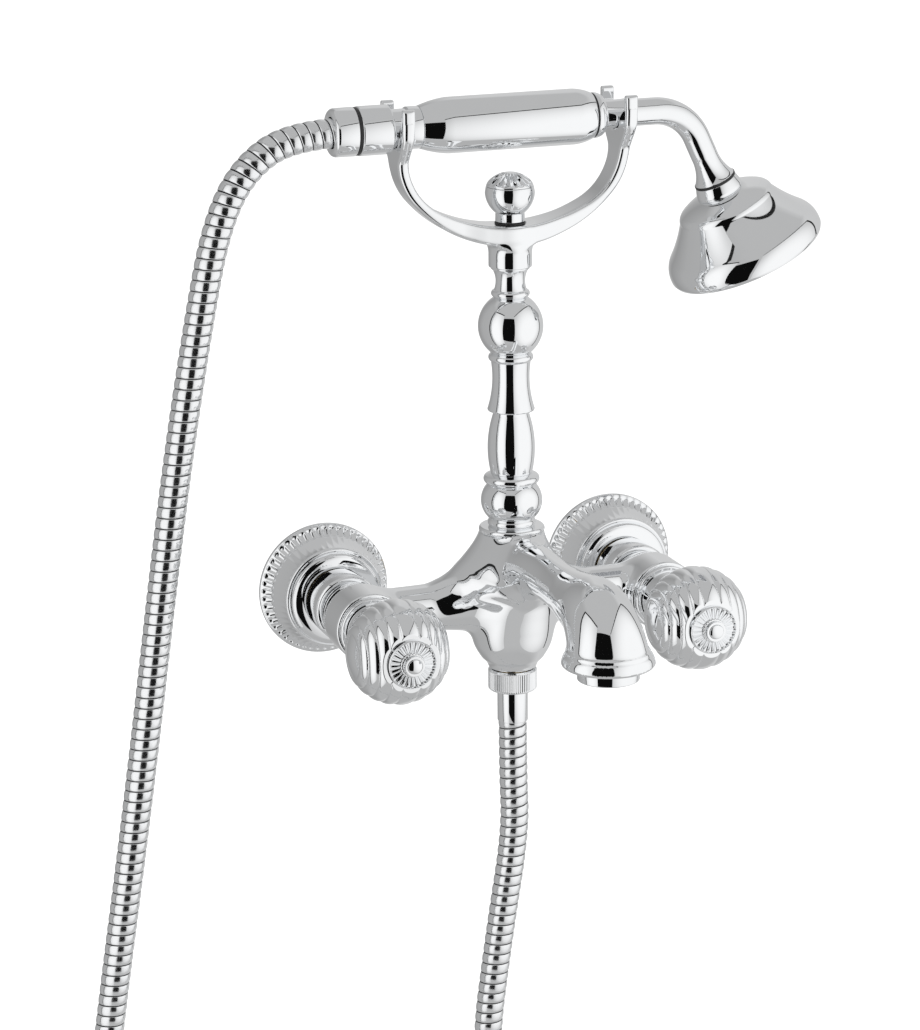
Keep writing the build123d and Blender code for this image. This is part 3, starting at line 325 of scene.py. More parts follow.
def turned(node, where, *steps, columns=144, shape=None, edge=EDGE):
    """A turned piece in the place of a node. A profile that starts on the axis also ends there and
    is a full solid, and any other is a ring."""
    solid = steps[0][0] == 0
    points = profile(*steps, edge=edge, closed=not solid)
    if solid:
        points[[0, -1], 0] = NEARLY_AXIS
    return grid_piece("turned_" + node, turn(where, points, columns, shape), not solid, node)


def dome(radius, foot, top):
    """Last step of a profile that closes over the axis as part of a ball."""
    ball = (radius ** 2 + (top - foot) ** 2) / (2 * (top - foot))
    return (radius / 2, top - ball + sqrt(ball ** 2 - radius ** 2 / 4)), (0, top)


def window(x, low, high, soft):
    """1 between low and high, 0 outside, and an even slope of width `soft` on each side."""
    rise = np.clip((x - low) / soft + 0.5, 0, 1)
    fall = np.clip((high - x) / soft + 0.5, 0, 1)
    s = rise * fall
    return s * s * (3 - 2 * s)


def hollows(angle, count, sharp=0.06):
    """Depth of `count` hollow flutes round a circle, 1 in the middle of a flute and 0 on the thin
    ridges between them."""
    return np.sqrt(np.sin(count * angle / 2) ** 2 + sharp ** 2) - sharp


print("profile of a bead:", len(profile((0, 0), (4, 0), ((5, 1), (4, 2)), (0, 2), closed=False)), "points")

# %% [markdown]
# # Wall side
# Behind each tap a threaded union screws into the pipe, a fluted flange hides the hole in the
# tiles and a smooth nut pulls the body on. The thread is a saw that climbs one pitch a turn.
# The flange's short flutes are hollows with a thin ridge between each two, so the ridges flash.

# %% Unions, flanges and nuts
INLET_X = 75.0
SIDES = {"left": -INLET_X, "right": INLET_X}
THREAD_PITCH, THREAD_DEPTH, THREAD_RADIUS = 1.814, 0.58, 10.48     # G1/2
FLANGE_FLUTES = 50
FLANGE_OUTLINE = (32.7, 1.8), (31.9, 2.5), (28.6, 6.2), (26.1, 11.2), (24.4, 17.2)


def thread(radius, height, angle):
    """Cuts the outer wall by a saw wave of height / pitch - angle / turn, and leaves the bore alone."""
    wave = np.abs((height / THREAD_PITCH - angle / (2 * pi)) % 1 - 0.5) * 2
    cut = THREAD_DEPTH * wave * (radius > 10.2) * window(height, -15.4, -1.0, 0.8)
    return radius - cut, height


def flange_flutes(radius, height, angle):
    """Hollows on the outer face from the rim up the cone, cut at a slant, so both radius and height
    shrink. They are deep on the rim and faint above it."""
    at_radius, at_height = np.transpose(FLANGE_OUTLINE)
    outside = (radius > np.interp(height, at_height, at_radius) - 0.7) * (height > 2.6)
    deep = 0.95 * window(height, 3.2, 7.4, 1.2) + 0.22 * window(height, 3.2, 17.4, 4.0)
    cut = deep * outside * hollows(angle, FLANGE_FLUTES)
    return radius - 0.75 * cut, height - 0.65 * cut


for side, x in SIDES.items():
    tap = along_inlet(x)
    start, end = (THREAD_RADIUS, -16.0), (THREAD_RADIUS, 0)
    turned(
        "inlet_union_" + side, tap,
        (8.0, -16.0), start, *between(start, end, 79), end, (12.3, 0), (12.3, 18.0), (13.2, 18.0),
        (13.2, 33.5), (8.0, 33.5), shape=thread,
    )
    rim, low, high, *shoulder = FLANGE_OUTLINE
    turned(
        "wall_flange_" + side, tap,
        (31.1, 0), (32.7, 0), rim, low, *between(low, high, 32), high, tuple(shoulder),
        ((24.9, 18.6), (23.6, 20.0)), (22.7, 19.5), (22.7, 21.6), ((22.4, 22.5), (21.7, 23.1)),
        ((20.8, 23.65), (19.8, 23.95)), (13.5, 24.2), (13.5, 22.9), (17.0, 22.6),
        ((19.4, 21.6), (20.9, 18.6)), (22.7, 16.0), (26.7, 5.6), (31.1, 1.6),
        columns=FLANGE_FLUTES * 8, shape=flange_flutes,
    )
    turned(
        "union_nut_" + side, tap,
        (13.25, 26.0), (15.9, 26.0), (16.5, 26.6), (16.5, 41.0), (15.5, 42.0), (11.3, 42.0),
        (11.3, 38.15), (13.25, 38.15),
    )
    turned(
        "bonnet_" + side, tap,
        (9.25, 53.6), (10.9, 53.6), (10.9, 76.0), (15.8, 76.0), (15.8, 78.4), (15.2, 79.0), (13.9, 79.0),
        ((13.9, 83.1), (13.2, 89.3)), (12.3, 90.2), (3.65, 90.2), (3.65, 66.0), (9.25, 66.0),
    )

# %% [markdown]
# # Ball knobs
# Each knob is a ball whose ribs run up and down, so it was turned about an axis that lies along
# the wall, across its spindle. As a surface it is one radius for each direction from the middle
# of the ball. The ribs are arcs over the angle towards the side, and two flats cut the ball.

# %% Knobs
KNOB_REACH, BALL, RIB_RISE = 114.0, 23.85, 0.95
RIB_EDGES = np.radians([-65.0, -52.0, -38.0, -24.0, -10.3, 10.3, 24.0, 38.0, 52.0, 65.0])
DISH_RADIUS, KNOB_BACK = 12.2, 91.4
DISH = sqrt(BALL ** 2 - DISH_RADIUS ** 2)      # from the middle of the ball to its front flat
REAR = KNOB_REACH - KNOB_BACK                  # and to its rear flat


def ribbed_radius(direction):
    """Radius of the ball towards a direction: BALL + rise * sqrt(1 - t * t), with t from -1 to 1
    across the rib that the angle to the side falls in."""
    tilt = np.arcsin(np.clip(direction[..., 0], -1, 1))
    rib = np.clip(np.searchsorted(RIB_EDGES, tilt) - 1, 0, len(RIB_EDGES) - 2)
    low, high = RIB_EDGES[rib], RIB_EDGES[rib + 1]
    t = (2 * tilt - low - high) / (high - low)
    return BALL + RIB_RISE * np.sqrt(np.clip(1 - t * t, 0.0, 1))


def toward(polar, angle):
    """Direction at a polar angle from the front of the knob: the front is -Y, and the angle runs
    from +X towards +Z."""
    return np.stack([np.sin(polar) * np.cos(angle), -np.cos(polar), np.sin(polar) * np.sin(angle)], -1)


def knob_grid(x, columns=480, rows=150):
    """Front flat, ribbed ball and rear flat in one grid. For each column the angle at which the
    ball meets a flat is found first, so its edge falls on a row."""
    angle = np.linspace(0, 2 * pi, columns, endpoint=False)
    ends = []
    for flat, start in ((DISH, 0), (REAR, pi)):
        polar = np.full(columns, np.arccos(flat / BALL))
        for _ in range(30):
            polar = np.arccos(flat / ribbed_radius(toward(abs(start - polar), angle)))
        ends.append(abs(start - polar))
    first, last = ends
    polar = first + (last - first) * np.linspace(0, 1, rows)[:, None]
    ball = ribbed_radius(toward(polar, angle))[..., None] * toward(polar, angle)
    inward = np.array([0.001, 0.5, 0.9, 0.985])[:, None, None]
    middle_front, middle_back = np.array([0, -DISH, 0]), np.array([0, REAR, 0])
    front = middle_front + (ball[:1] - middle_front) * inward
    back = middle_back + (ball[-1:] - middle_back) * inward[::-1]
    return np.concatenate([front, ball, back]) + np.array([x, -KNOB_REACH, 0])


MEDAL_FLUTES, PLATE = 24, KNOB_REACH + DISH


def medal_flutes(radius, height, angle):
    """Hollows that run outwards between the button's collar and the rim."""
    deep = window(radius, 5.6, 10.9, 0.7) * (height > PLATE + 0.9)
    return radius, height - 1.3 * deep * hollows(angle, MEDAL_FLUTES, 0.04)


for side, x in SIDES.items():
    grid_piece("ribbed_knob_" + side, knob_grid(x), False, "knob_" + side)
    turned(
        "knob_medallion_" + side, along_inlet(x),
        (3.45, PLATE), (11.9, PLATE), (11.6, PLATE + 1.6), (11.2, PLATE + 2.2),
        *between((11.1, PLATE + 2.25), (5.5, PLATE + 2.6), 27),
        (4.9, PLATE + 2.6), (4.9, PLATE + 4.8), (3.45, PLATE + 4.8),
        columns=MEDAL_FLUTES * 16, shape=medal_flutes,
    )
    turned(
        "knob_screw_" + side, along_inlet(x),
        (0, 124.0), (3.4, 124.0), (3.4, PLATE + 5.3), dome(3.4, PLATE + 5.3, PLATE + 6.1), columns=64,
    )

# %% [markdown]
# # Column, pull knob and the hose outlet
# The column is three turned pieces on top of each other. The pull knob of the diverter has a
# domed cap with hollow flutes, and the nut that holds the hose under the body is knurled, with
# upright ridges for the fingers. Both are a profile whose radius or height also moves with the
# angle.

# %% Column
turned(
    "column_lower", COLUMN,
    (4.2, 22.0), (8.95, 22.0), (8.95, 38.0), (15.0, 38.0), ((15.8, 39.5), (15.0, 41.0)), (10.6, 41.0),
    ((11.5, 42.8), (10.6, 44.6)), ((14.7, 53.2), (10.8, 62.2)), (12.5, 62.4), ((13.4, 64.2), (12.5, 66.0)),
    (9.9, 67.0), (4.2, 67.0),
)
turned(
    "column_barrel", COLUMN,
    (4.2, 67.0), (9.9, 67.0), ((11.3, 80.3), (8.6, 96.0)), (8.6, 97.6), (4.2, 97.6),
)
turned(
    "column_upper", COLUMN,
    (4.2, 97.6), (11.0, 97.6), (11.3, 98.3), ((9.2, 108.0), (9.5, 121.7)), ((10.7, 123.5), (9.1, 125.5)),
    ((15.5, 138.8), (7.6, 152.6)), ((9.2, 154.2), (7.8, 156.0)), ((7.0, 160.5), (8.4, 165.6)),
    (9.2, 166.2), (9.2, 167.0), (4.2, 167.0),
)
turned(
    "cradle_gland", COLUMN,
    (2.55, 184.0), (5.2, 184.0), (5.2, 187.4), (7.3, 187.4), (7.3, 188.5), (2.55, 188.5), edge=0.45,
)
turned(
    "diverter_knob", COLUMN,
    (2.55, 188.8), (7.0, 188.8), (6.9, 192.8), ((10.0, 196.4), (11.8, 202.4)), (11.3, 205.35), (2.55, 205.35),
)

CAP_FLUTES, CROWN_FOOT, CROWN = 18, 206.0, 6.0


def cap_flutes(radius, height, angle):
    """Hollows on the shoulder of the cap, none on its crown or rim."""
    cut = window(radius, 3.6, 10.4, 1.6) * (height > 205.9) * hollows(angle, CAP_FLUTES)
    return radius - 0.25 * cut, height - 0.95 * cut


dome_points = [(11.1 - 0.33 * i, CROWN_FOOT + CROWN * (1 - (1 - 0.03 * i) ** 2) ** 0.75) for i in range(1, 33)]
turned(
    "diverter_cap", COLUMN,
    (0, 205.42), (11.1, 205.42), (11.1, 205.95), *dome_points, (0, CROWN_FOOT + CROWN),
    columns=CAP_FLUTES * 14, shape=cap_flutes,
)

# %% Hose outlet
KNURLS, NUT_RADIUS, NUT_FOOT, NUT_TOP = 72, 11.8, -41.2, -30.4


def knurl(radius, height, angle):
    """Upright ridges round the nut's outer wall."""
    deep = window(height, NUT_FOOT + 1.0, NUT_TOP - 1.0, 0.6) * (radius > 11.5)
    return radius - 0.32 * deep * hollows(angle, KNURLS), height


start, end = (NUT_RADIUS, NUT_FOOT + 0.8), (NUT_RADIUS, NUT_TOP - 0.7)
turned(
    "hose_nut_lower", COLUMN,
    (6.35, NUT_FOOT), (11.0, NUT_FOOT), start, *between(start, end, 30), (NUT_RADIUS, NUT_TOP - 0.8),
    (11.0, NUT_TOP), (8.45, NUT_TOP), (8.45, -38.8), (6.35, -38.8),
    columns=KNURLS * 8, shape=knurl,
)
turned(
    "hose_ferrule_lower", COLUMN,
    (4.0, -57.0), (7.45, -57.0), (7.45, -41.2), (6.05, -41.2), (6.05, -38.8), (8.1, -38.8), (8.1, -36.5),
    (4.0, -36.5),
)
turned(
    "aerator_housing", MOUTH,
    (9.4, 1.2), (9.8, 0.8), (13.9, 0.8), (14.3, 1.2), (14.3, 7.55), (12.0, 7.55), (12.0, 12.5), (10.4, 12.5),
    (10.4, 2.4), (9.4, 2.4),
)

# %% [markdown]
# # Handset
# The handle is turned too, about the line that it lies on. The neck bends down to the head: a
# circle carried along a straight run and an arc, which opens into a flare above the black seal.
# The head is a bell, tilted with the neck, and its own axis carries its profile.

# %% Handle
# Each point is (place along the handle, radius), and the lathe wants it the other way round.
HANDLE_PIECES = {
    "hose_nut_upper": (
        (-87.3, 7.3), (-87.8, 8.2), ((-87.4, 10.4), (-85.6, 11.3)), (-76.7, 11.4), (-76.7, 4.0),
        (-80.6, 4.0), (-80.6, 7.3),
    ),
    "hose_washer_upper": ((-76.7, 4.0), (-76.7, 11.2), (-74.9, 11.2), (-74.9, 4.0)),
    "handset_tail": (
        (-74.9, 4.0), (-74.9, 11.2), (-74.4, 11.5), (-60.2, 11.5), (-59.4, 10.7), (-59.4, 9.1),
        (-51.5, 9.1), (-51.5, 5.25), (-70.0, 5.25), (-70.0, 4.0),
    ),
    "grip_ring_left": (
        (-51.5, 5.25), (-51.5, 9.3), (-50.9, 9.9), (-45.4, 9.9), (-45.0, 9.5), (-45.0, 5.25),
    ),
    "handset_grip": (
        (-45.0, 5.25), (-45.0, 9.9), ((-38.8, 11.8), (-31.0, 13.1)), (31.5, 13.1),
        ((36.5, 12.3), (40.4, 10.9)), (40.4, 5.25),
    ),
    "grip_ring_right": ((40.4, 5.25), (40.4, 10.4), (41.4, 10.4), (41.4, 5.25)),
    "grip_end": ((41.4, 5.25), (41.4, 10.7), ((44.8, 9.9), (46.6, 7.7)), (46.6, 5.25)),
}
for node, steps in HANDLE_PIECES.items():
    turned(node, HANDLE, *(
        tuple(point[::-1] for point in step) if isinstance(step[0], tuple) else step[::-1] for step in steps
    ))

# %% Neck
NECK_STRAIGHT, NECK_BEND, NECK_TURN, NECK_TAIL = 72.7, 24.0, radians(65.2), 22.5
NECK_RADIUS, BORE = 6.45, 4.0
HEAD_TOP, COLLAR, GASKET = 34.4, 6.0, 1.2


def neck_line(s):
    """Place and direction along the neck, in the plane of the handle: level, then an arc, then
    straight down the slope."""
    bend = NECK_BEND * NECK_TURN
    turn_by = np.clip((s - NECK_STRAIGHT) / NECK_BEND, 0, NECK_TURN)
    beyond = np.maximum(s - NECK_STRAIGHT - bend, 0)
    x = np.minimum(s, NECK_STRAIGHT) + NECK_BEND * np.sin(turn_by) + beyond * cos(NECK_TURN)
    z = HANDSET_HEIGHT - NECK_BEND * (1 - np.cos(turn_by)) - beyond * sin(NECK_TURN)
    place = np.stack([x, np.full_like(x, -COLUMN_REACH), z], -1)
    return place, np.stack([np.cos(turn_by), 0 * x, -np.sin(turn_by)], -1)


def carried(stations, radii, line, columns=96):
    """Circles carried along a line in the plane across the wall: place + radius * (cos * Y + sin *
    (direction x Y))."""
    place, ahead = line(np.asarray(stations, float))
    side = np.array([0.0, 1.0, 0.0])
    other = np.cross(ahead, side)
    angle = np.linspace(0, 2 * pi, columns, endpoint=False)[None, :, None]
    ring = np.cos(angle) * side + np.sin(angle) * other[:, None]
    return place[:, None] + np.asarray(radii, float).reshape(len(place), -1)[..., None] * ring


neck_length = NECK_STRAIGHT + NECK_BEND * NECK_TURN + NECK_TAIL
flare = neck_length - 13.0
outer = profile(
    (BORE, -70.0), (5.2, -70.0), (5.2, 46.6), (7.1, 46.6), ((6.7, 53.0), (7.1, 59.4)), (NECK_RADIUS, 60.4),
    *[(NECK_RADIUS, 60.4 + 0.8 * i) for i in range(1, int((flare - 61) / 0.8))],
    (NECK_RADIUS, flare), ((7.4, neck_length - 5.2), (9.9, neck_length)), (BORE, neck_length),
    *[(BORE, neck_length - 1.2 * i) for i in range(1, int((neck_length - 50) / 1.2))],
)
grid_piece("bent_handset_neck", carried(outer[:, 1], outer[:, 0], neck_line), True, "handset_neck")

# %% Head
(foot,), (down,) = neck_line(np.array([neck_length]))
HEAD = foot + down * (GASKET + COLLAR + HEAD_TOP), -down
SPRAY = 33.5                   # mm, radius of the spray plate
GASKET_FOOT = HEAD_TOP + COLLAR
turned(
    "head_gasket", HEAD,
    (BORE, GASKET_FOOT), (10.2, GASKET_FOOT), (10.2, GASKET_FOOT + GASKET), (BORE, GASKET_FOOT + GASKET),
)
turned(
    "head_collar", HEAD,
    (BORE, HEAD_TOP), (11.4, HEAD_TOP), (11.4, HEAD_TOP + 1.6), (10.1, GASKET_FOOT), (BORE, GASKET_FOOT),
)
turned(
    "shower_head", HEAD,
    (BORE, HEAD_TOP), (11.0, HEAD_TOP), ((16.6, 32.7), (21.5, 30.2)), ((23.1, 28.8), (23.9, 26.6)),
    ((29.3, 18.4), (34.7, 12.0)), ((37.8, 7.4), (38.6, 3.6)), (38.6, 1.6), (37.8, 0), (34.9, 0),
    (33.55, 1.4), (33.55, 4.6), (31.5, 4.6), (20.5, 21.6), (10.0, 30.4), (BORE, 30.4),
    columns=192,
)
print("neck", round(neck_length, 1), "mm, head at", np.round(HEAD[0], 1))

# %% [markdown]
# # The body
# The body is one casting: arms, hub, bulb and spout flow into each other with soft fillets,
# and no lathe or path can make that. It could be sculpted, but a mirror shows every dent.
# So it is written as a field: a number for every point of space, negative inside the metal.
# Two fields are joined by their smaller value, with a round join where they are nearly equal.
# The surface where the field is nothing is then skinned with small faces, and each point is
# pulled exactly onto it.

# %% Fields
def smooth_table(x, places, values):
    """A smooth curve through the values at the places: cubic pieces whose slopes never overshoot,
    and level beyond the ends."""
    p, v = np.array(places, float), np.array(values, float)
    step, rise = np.diff(p), np.diff(v) / np.diff(p)
    slope = np.zeros_like(v)
    same = rise[1:] * rise[:-1] > 0
    before, after = np.where(rise[:-1] == 0, 1, rise[:-1]), np.where(rise[1:] == 0, 1, rise[1:])
    share = (2 * step[1:] + step[:-1]) / before + (step[1:] + 2 * step[:-1]) / after
    slope[1:-1][same] = (3 * (step[1:] + step[:-1]) / np.where(same, share, 1))[same]
    x = np.clip(x, p[0], p[-1])
    i = np.clip(np.searchsorted(p, x, side="right") - 1, 0, len(step) - 1)
    t = (x - p[i]) / step[i]
    return (
        (2 * t ** 3 - 3 * t ** 2 + 1) * v[i] + (t ** 3 - 2 * t ** 2 + t) * step[i] * slope[i]
        + (3 * t ** 2 - 2 * t ** 3) * v[i + 1] + (t ** 3 - t ** 2) * step[i] * slope[i + 1]
    )


def join(a, b, blend):
    """The smaller of two fields, lowered by (blend - |a - b|) squared / (4 * blend) where they are
    nearer than `blend`."""
    near = np.maximum(blend - np.abs(a - b), 0)
    return np.minimum(a, b) - near * near / (4 * blend)


def cut(a, b, blend):
    """The larger of two fields, with the same round join: what is inside both."""
    return -join(-a, -b, blend)


def slope_of(field, points, step=0.02):
    """Distance to the surface, as value / steepness, and the direction in which the field grows, by
    differences over a small step."""
    value = field(*points.T)
    sides = [(field(*(points + step * e).T) - field(*(points - step * e).T)) / (2 * step) for e in np.eye(3)]
    rise = np.stack(sides, -1)
    return value / np.maximum(np.linalg.norm(rise, axis=-1), 1e-6), unit(rise, 1e-6)


def skin(field, low, high, cell):
    """Faces over the surface where the field is nothing. Space is divided into cells, each cell
    that the surface crosses gets one point, the mean of the crossings on its edges, and each
    crossed edge joins the four cells round it."""
    axes = [np.arange(a, b + cell, cell) for a, b in zip(low, high)]
    slabs = [np.meshgrid(part, *axes[1:], indexing="ij") for part in np.array_split(axes[0], 8)]
    value = np.concatenate([field(*slab) for slab in slabs])
    inside = value < 0
    shape = np.array(value.shape) - 1
    keys, spots, quads = [], [], []
    for axis in range(3):
        one, two = [slice(None)] * 3, [slice(None)] * 3
        one[axis], two[axis] = slice(None, -1), slice(1, None)
        one, two = tuple(one), tuple(two)
        crossed = inside[one] != inside[two]
        i = np.argwhere(crossed)
        a, b = value[one][crossed], value[two][crossed]
        spot = i.astype(float)
        spot[:, axis] += a / (a - b)
        ring = []
        for back in ((0, 0), (1, 0), (1, 1), (0, 1)):
            c = i.copy()
            c[:, (axis + 1) % 3] -= back[0]
            c[:, (axis + 2) % 3] -= back[1]
            ring.append((c[:, 0] * shape[1] + c[:, 1]) * shape[2] + c[:, 2])
        ring = np.stack(ring, -1)
        quads.append(np.where(inside[one][crossed][:, None], ring, ring[:, ::-1]))
        keys.append(ring.T.ravel())
        spots.append(np.tile(spot, (4, 1)))
    keys, spots, quads = (np.concatenate(part) for part in (keys, spots, quads))
    cells, index = np.unique(keys, return_inverse=True)
    means = np.stack([np.bincount(index, spots[:, k]) for k in range(3)], -1) / np.bincount(index)[:, None]
    points = means * cell + np.array([a[0] for a in axes])
    for _ in range(10):
        away, facing = slope_of(field, points)
        points -= np.clip(away, -0.5 * cell, 0.5 * cell)[:, None] * facing
    return points, np.searchsorted(cells, quads).tolist(), slope_of(field, points)[1]


# %% Body field
ARM_REACH, ARM_RADIUS = 58.0, 11.2
HALF = (0, 7, 16.5, 23.5, 28.5, 34, 42, 56, 80)                  # from the middle to the side
TOP = (36.8, 35.6, 30.6, 24.0, 19.0, 15.8, 13.4, 13.2, 13.2)     # height there
BOTTOM = (-12.0, -12.0, -11.0, -10.4, -10.0, -9.6, -9.3, -9.2, -9.2)
DEPTH = (19.8, 19.4, 17.6, 15.2, 13.4, 12.1, 11.3, 11.2, 11.2)
SPOUT_HEIGHT, BEND, LIP_BOTTOM, LIP_TOP = 28.0, 22.0, 7.6, 13.8
ALONG = (65, 84, 92, 106, 124, 142, 157, 168, 185.3, 202.6, 206)  # along the spout's line
SPOUT = (10.0, 10.4, 11.2, 11.0, 10.6, 11.6, 13.7, 15.3, 17.4, 19.2, 19.1)
BULB_HEIGHT = (-30, -27.6, -24, -17, -9, -1, 8, 16)
BULB_WIDE = (11.6, 12.3, 15.4, 19.0, 20.5, 20.8, 19.2, 18.4)
BULB_CHIN = (11.6, 12.3, 15.3, 18.8, 21.0, 23.0, 25.6, 28.0)     # towards the spout
HUB_TOP, NECK_FOOT, ARM_END = 38, 14, 76
BOSS_REAR, BOSS_FRONT = 43, 76                                   # from the wall


def arms_and_hub(x, d, z):
    """An ellipse across the wall at each distance from the middle, whose top, bottom and depth come
    from tables."""
    half = np.abs(x)
    up, down, deep = (smooth_table(half, HALF, v) for v in (TOP, BOTTOM, DEPTH))
    tall, middle = (up - down) / 2, (up + down) / 2
    reach = ARM_REACH + (deep - ARM_RADIUS) * 0.58
    ellipse = (np.hypot((z - middle) / tall, (d - reach) / deep) - 1) * np.minimum(tall, deep)
    return np.maximum(ellipse, half - ARM_END)


def spout(x, d, z):
    """Distance to the spout's line, level, then a quarter bend, then down, less a radius from a
    table along that line. At its root the line lies a little lower."""
    turn_at, turn_height = SPOUT_REACH - BEND, SPOUT_HEIGHT - BEND
    level_run, below = d < turn_at, turn_height - z
    angle = np.clip(np.arctan2(d - turn_at, -below), 0, pi / 2)
    root = smooth_table(d, (65, 85, 105), (4.0, 1.5, 0.0))
    beside = np.where(below > 0, d - SPOUT_REACH, np.hypot(d - turn_at, below) - BEND)
    beside = np.where(level_run, z - SPOUT_HEIGHT + root, beside)
    s = np.where(level_run, d, turn_at + np.where(below > 0, BEND * pi / 2 + below, BEND * angle))
    return np.maximum(np.hypot(x, beside) - smooth_table(s, ALONG, SPOUT), COLUMN_REACH - d)


def body_field(x, y, z):
    """The casting: arms and hub, bulb, neck, bosses and spout joined, then the waterways cut out."""
    d, out = -y, np.hypot(x, -y - COLUMN_REACH)
    wide, chin = (smooth_table(z, BULB_HEIGHT, v) for v in (BULB_WIDE, BULB_CHIN))
    bulb = np.hypot(x, (d - COLUMN_REACH) * np.where(d > COLUMN_REACH, wide / chin, 1)) - wide
    bulb = cut(bulb, np.maximum(BULB_HEIGHT[0] - z, z - BULB_HEIGHT[-1]), 1.2)
    neck = out - smooth_table(z, (NECK_FOOT, 22, 30, HUB_TOP), (21.5, 19.4, 16.6, 15.4))
    neck = cut(neck, NECK_FOOT - z, 2.0)
    hub = join(join(arms_and_hub(x, d, z), bulb, 5.0), neck, 7.0)
    hub = cut(hub, z - HUB_TOP, 0.8)
    tap = np.hypot(np.abs(x) - INLET_X, z)
    boss = tap - smooth_table(d, (BOSS_REAR, 48, 53, 58, BOSS_FRONT), (14.2, 15.3, 16.4, 17.2, 17.2))
    boss = cut(boss, np.maximum(BOSS_REAR - d, d - BOSS_FRONT), 1.6)
    tail = np.maximum(tap - np.where(d < 38.1, 12.6, 11.0), np.maximum(35.5 - d, d - 50))
    metal = join(join(hub, boss, 5.0), tail, 0.4)
    mouth = np.hypot(x, d - SPOUT_REACH)
    lip = mouth - smooth_table(z, (LIP_BOTTOM, 8.4, 10.0, 12.0, LIP_TOP), (20.8, 21.4, 21.2, 20.3, 18.8))
    lip = cut(lip, np.maximum(LIP_BOTTOM - z, z - LIP_TOP), 0.8)
    pipe = cut(spout(x, d, z), LIP_BOTTOM - z, 1.0)
    metal = join(metal, join(pipe, lip, 3.0), 13.0)
    metal = np.maximum(metal, -np.maximum(out - 16.2, HUB_TOP - z))
    for way in (
        np.maximum(tap - 8.0, d - 53),             # in from the wall
        np.maximum(tap - 11.0, 52 - d),            # seat of a tap
        np.maximum(out - 9.0, -6 - z),             # up into the column
        np.maximum(out - 5.5, z + 5),              # down to the hose
        np.maximum(mouth - 12.05, z - 14),         # thread of the aerator
    ):
        metal = np.maximum(metal, -way)
    return metal


mesh_piece("cast_mixer_body", *skin(body_field, (-94, -214, -32), (94, -33, 46), 0.9), "mixer_body")

# %% [markdown]
# # The cradle
# The cradle that holds the handset is cast as well: a bent band with a collar on the column,
# and each end of the band opens into a fork. Its outline is a field of two circles per side
# that touch without a kink. Across the wall the band has one half width for each height, it
# is cut round over the prongs, and a slot between the prongs makes room for the handle.

# %% Cradle
YOKE_BOTTOM, YOKE_TOP, YOKE_HALF, YOKE_THICK, YOKE_END = 178.0, 187.4, 57.6, 5.4, 222.0
FORK_TOP, PRONG_MIDDLE, PRONG_HALF = 247.0, 15.5, 2.3


def two_arcs(half, z, span, corner, low):
    """Distance outside a curve made of an upright side, a corner circle and a wide circle under it:
    the wide circle's radius is the one at which the two touch."""
    across, drop = span - corner, YOKE_END - low
    wide = (across ** 2 + drop ** 2 - corner ** 2) / (2 * (drop - corner))
    centre = low + wide
    beyond = np.arctan2(half, centre - z) > np.arctan2(across, centre - YOKE_END)
    near = np.hypot(half - across, z - YOKE_END) - corner
    return np.where(z > YOKE_END, half - span, np.where(beyond, near, np.hypot(half, z - centre) - wide))


def cradle_field(x, y, z):
    """The band between its two outlines, cut to its width, to the prongs and to the slot, then the
    collar joined and the bore cut out."""
    half, deep = np.abs(x), np.abs(y + COLUMN_REACH)
    swell = smooth_table(z, (224, 236), (0.0, 0.4))
    outside = two_arcs(half, z, YOKE_HALF, 32.6, YOKE_BOTTOM) - swell
    inside = -two_arcs(half, z, YOKE_HALF - YOKE_THICK, 29.0, YOKE_TOP) - swell
    reach = smooth_table(z, (214, 220, 225, 229, 234, 240), (8.0, 8.8, 12.0, 15.0, 17.4, 17.8))
    reach = reach + smooth_table(half, (0, 14, 26), (2.4, 1.2, 0.0))
    band = cut(cut(outside, inside, 1.5), deep - reach, 2.6)
    off_prong = np.maximum(np.abs(deep - PRONG_MIDDLE) - 0.2, 0)
    prong = np.hypot(off_prong, np.maximum(z - FORK_TOP + PRONG_HALF, 0)) - PRONG_HALF + 0.1
    band = cut(band, np.minimum(prong, z - 241), 0.8)
    seat = np.where(x < 0, 9.4, 7.4)
    slot_half = seat + (13.2 - seat) * smooth_table(z, (235, 241), (0, 1))
    slot = np.minimum(np.hypot(deep, z - HANDSET_HEIGHT) - seat, np.maximum(deep - slot_half, 235 - z))
    out = np.hypot(x, y + COLUMN_REACH)
    collar = out - smooth_table(z, (167, 175, 178, 182), (10.3, 10.3, 9.9, 7.6))
    collar = cut(collar, np.maximum(167 - z, z - 184), 0.8)
    metal = join(cut(band, -slot, 1.4), collar, 5.0)
    for bore in (
        np.maximum(out - 2.55, z - 188),           # for the rod
        np.maximum(out - 5.25, 184 - z),           # for the gland
        np.maximum(out - 7.6, YOKE_TOP - z),       # over the gland's flange
    ):
        metal = np.maximum(metal, -bore)
    return metal


mesh_piece("forked_cradle", *skin(cradle_field, (-62, -86, 165), (62, -44, 250), 0.55), "cradle")
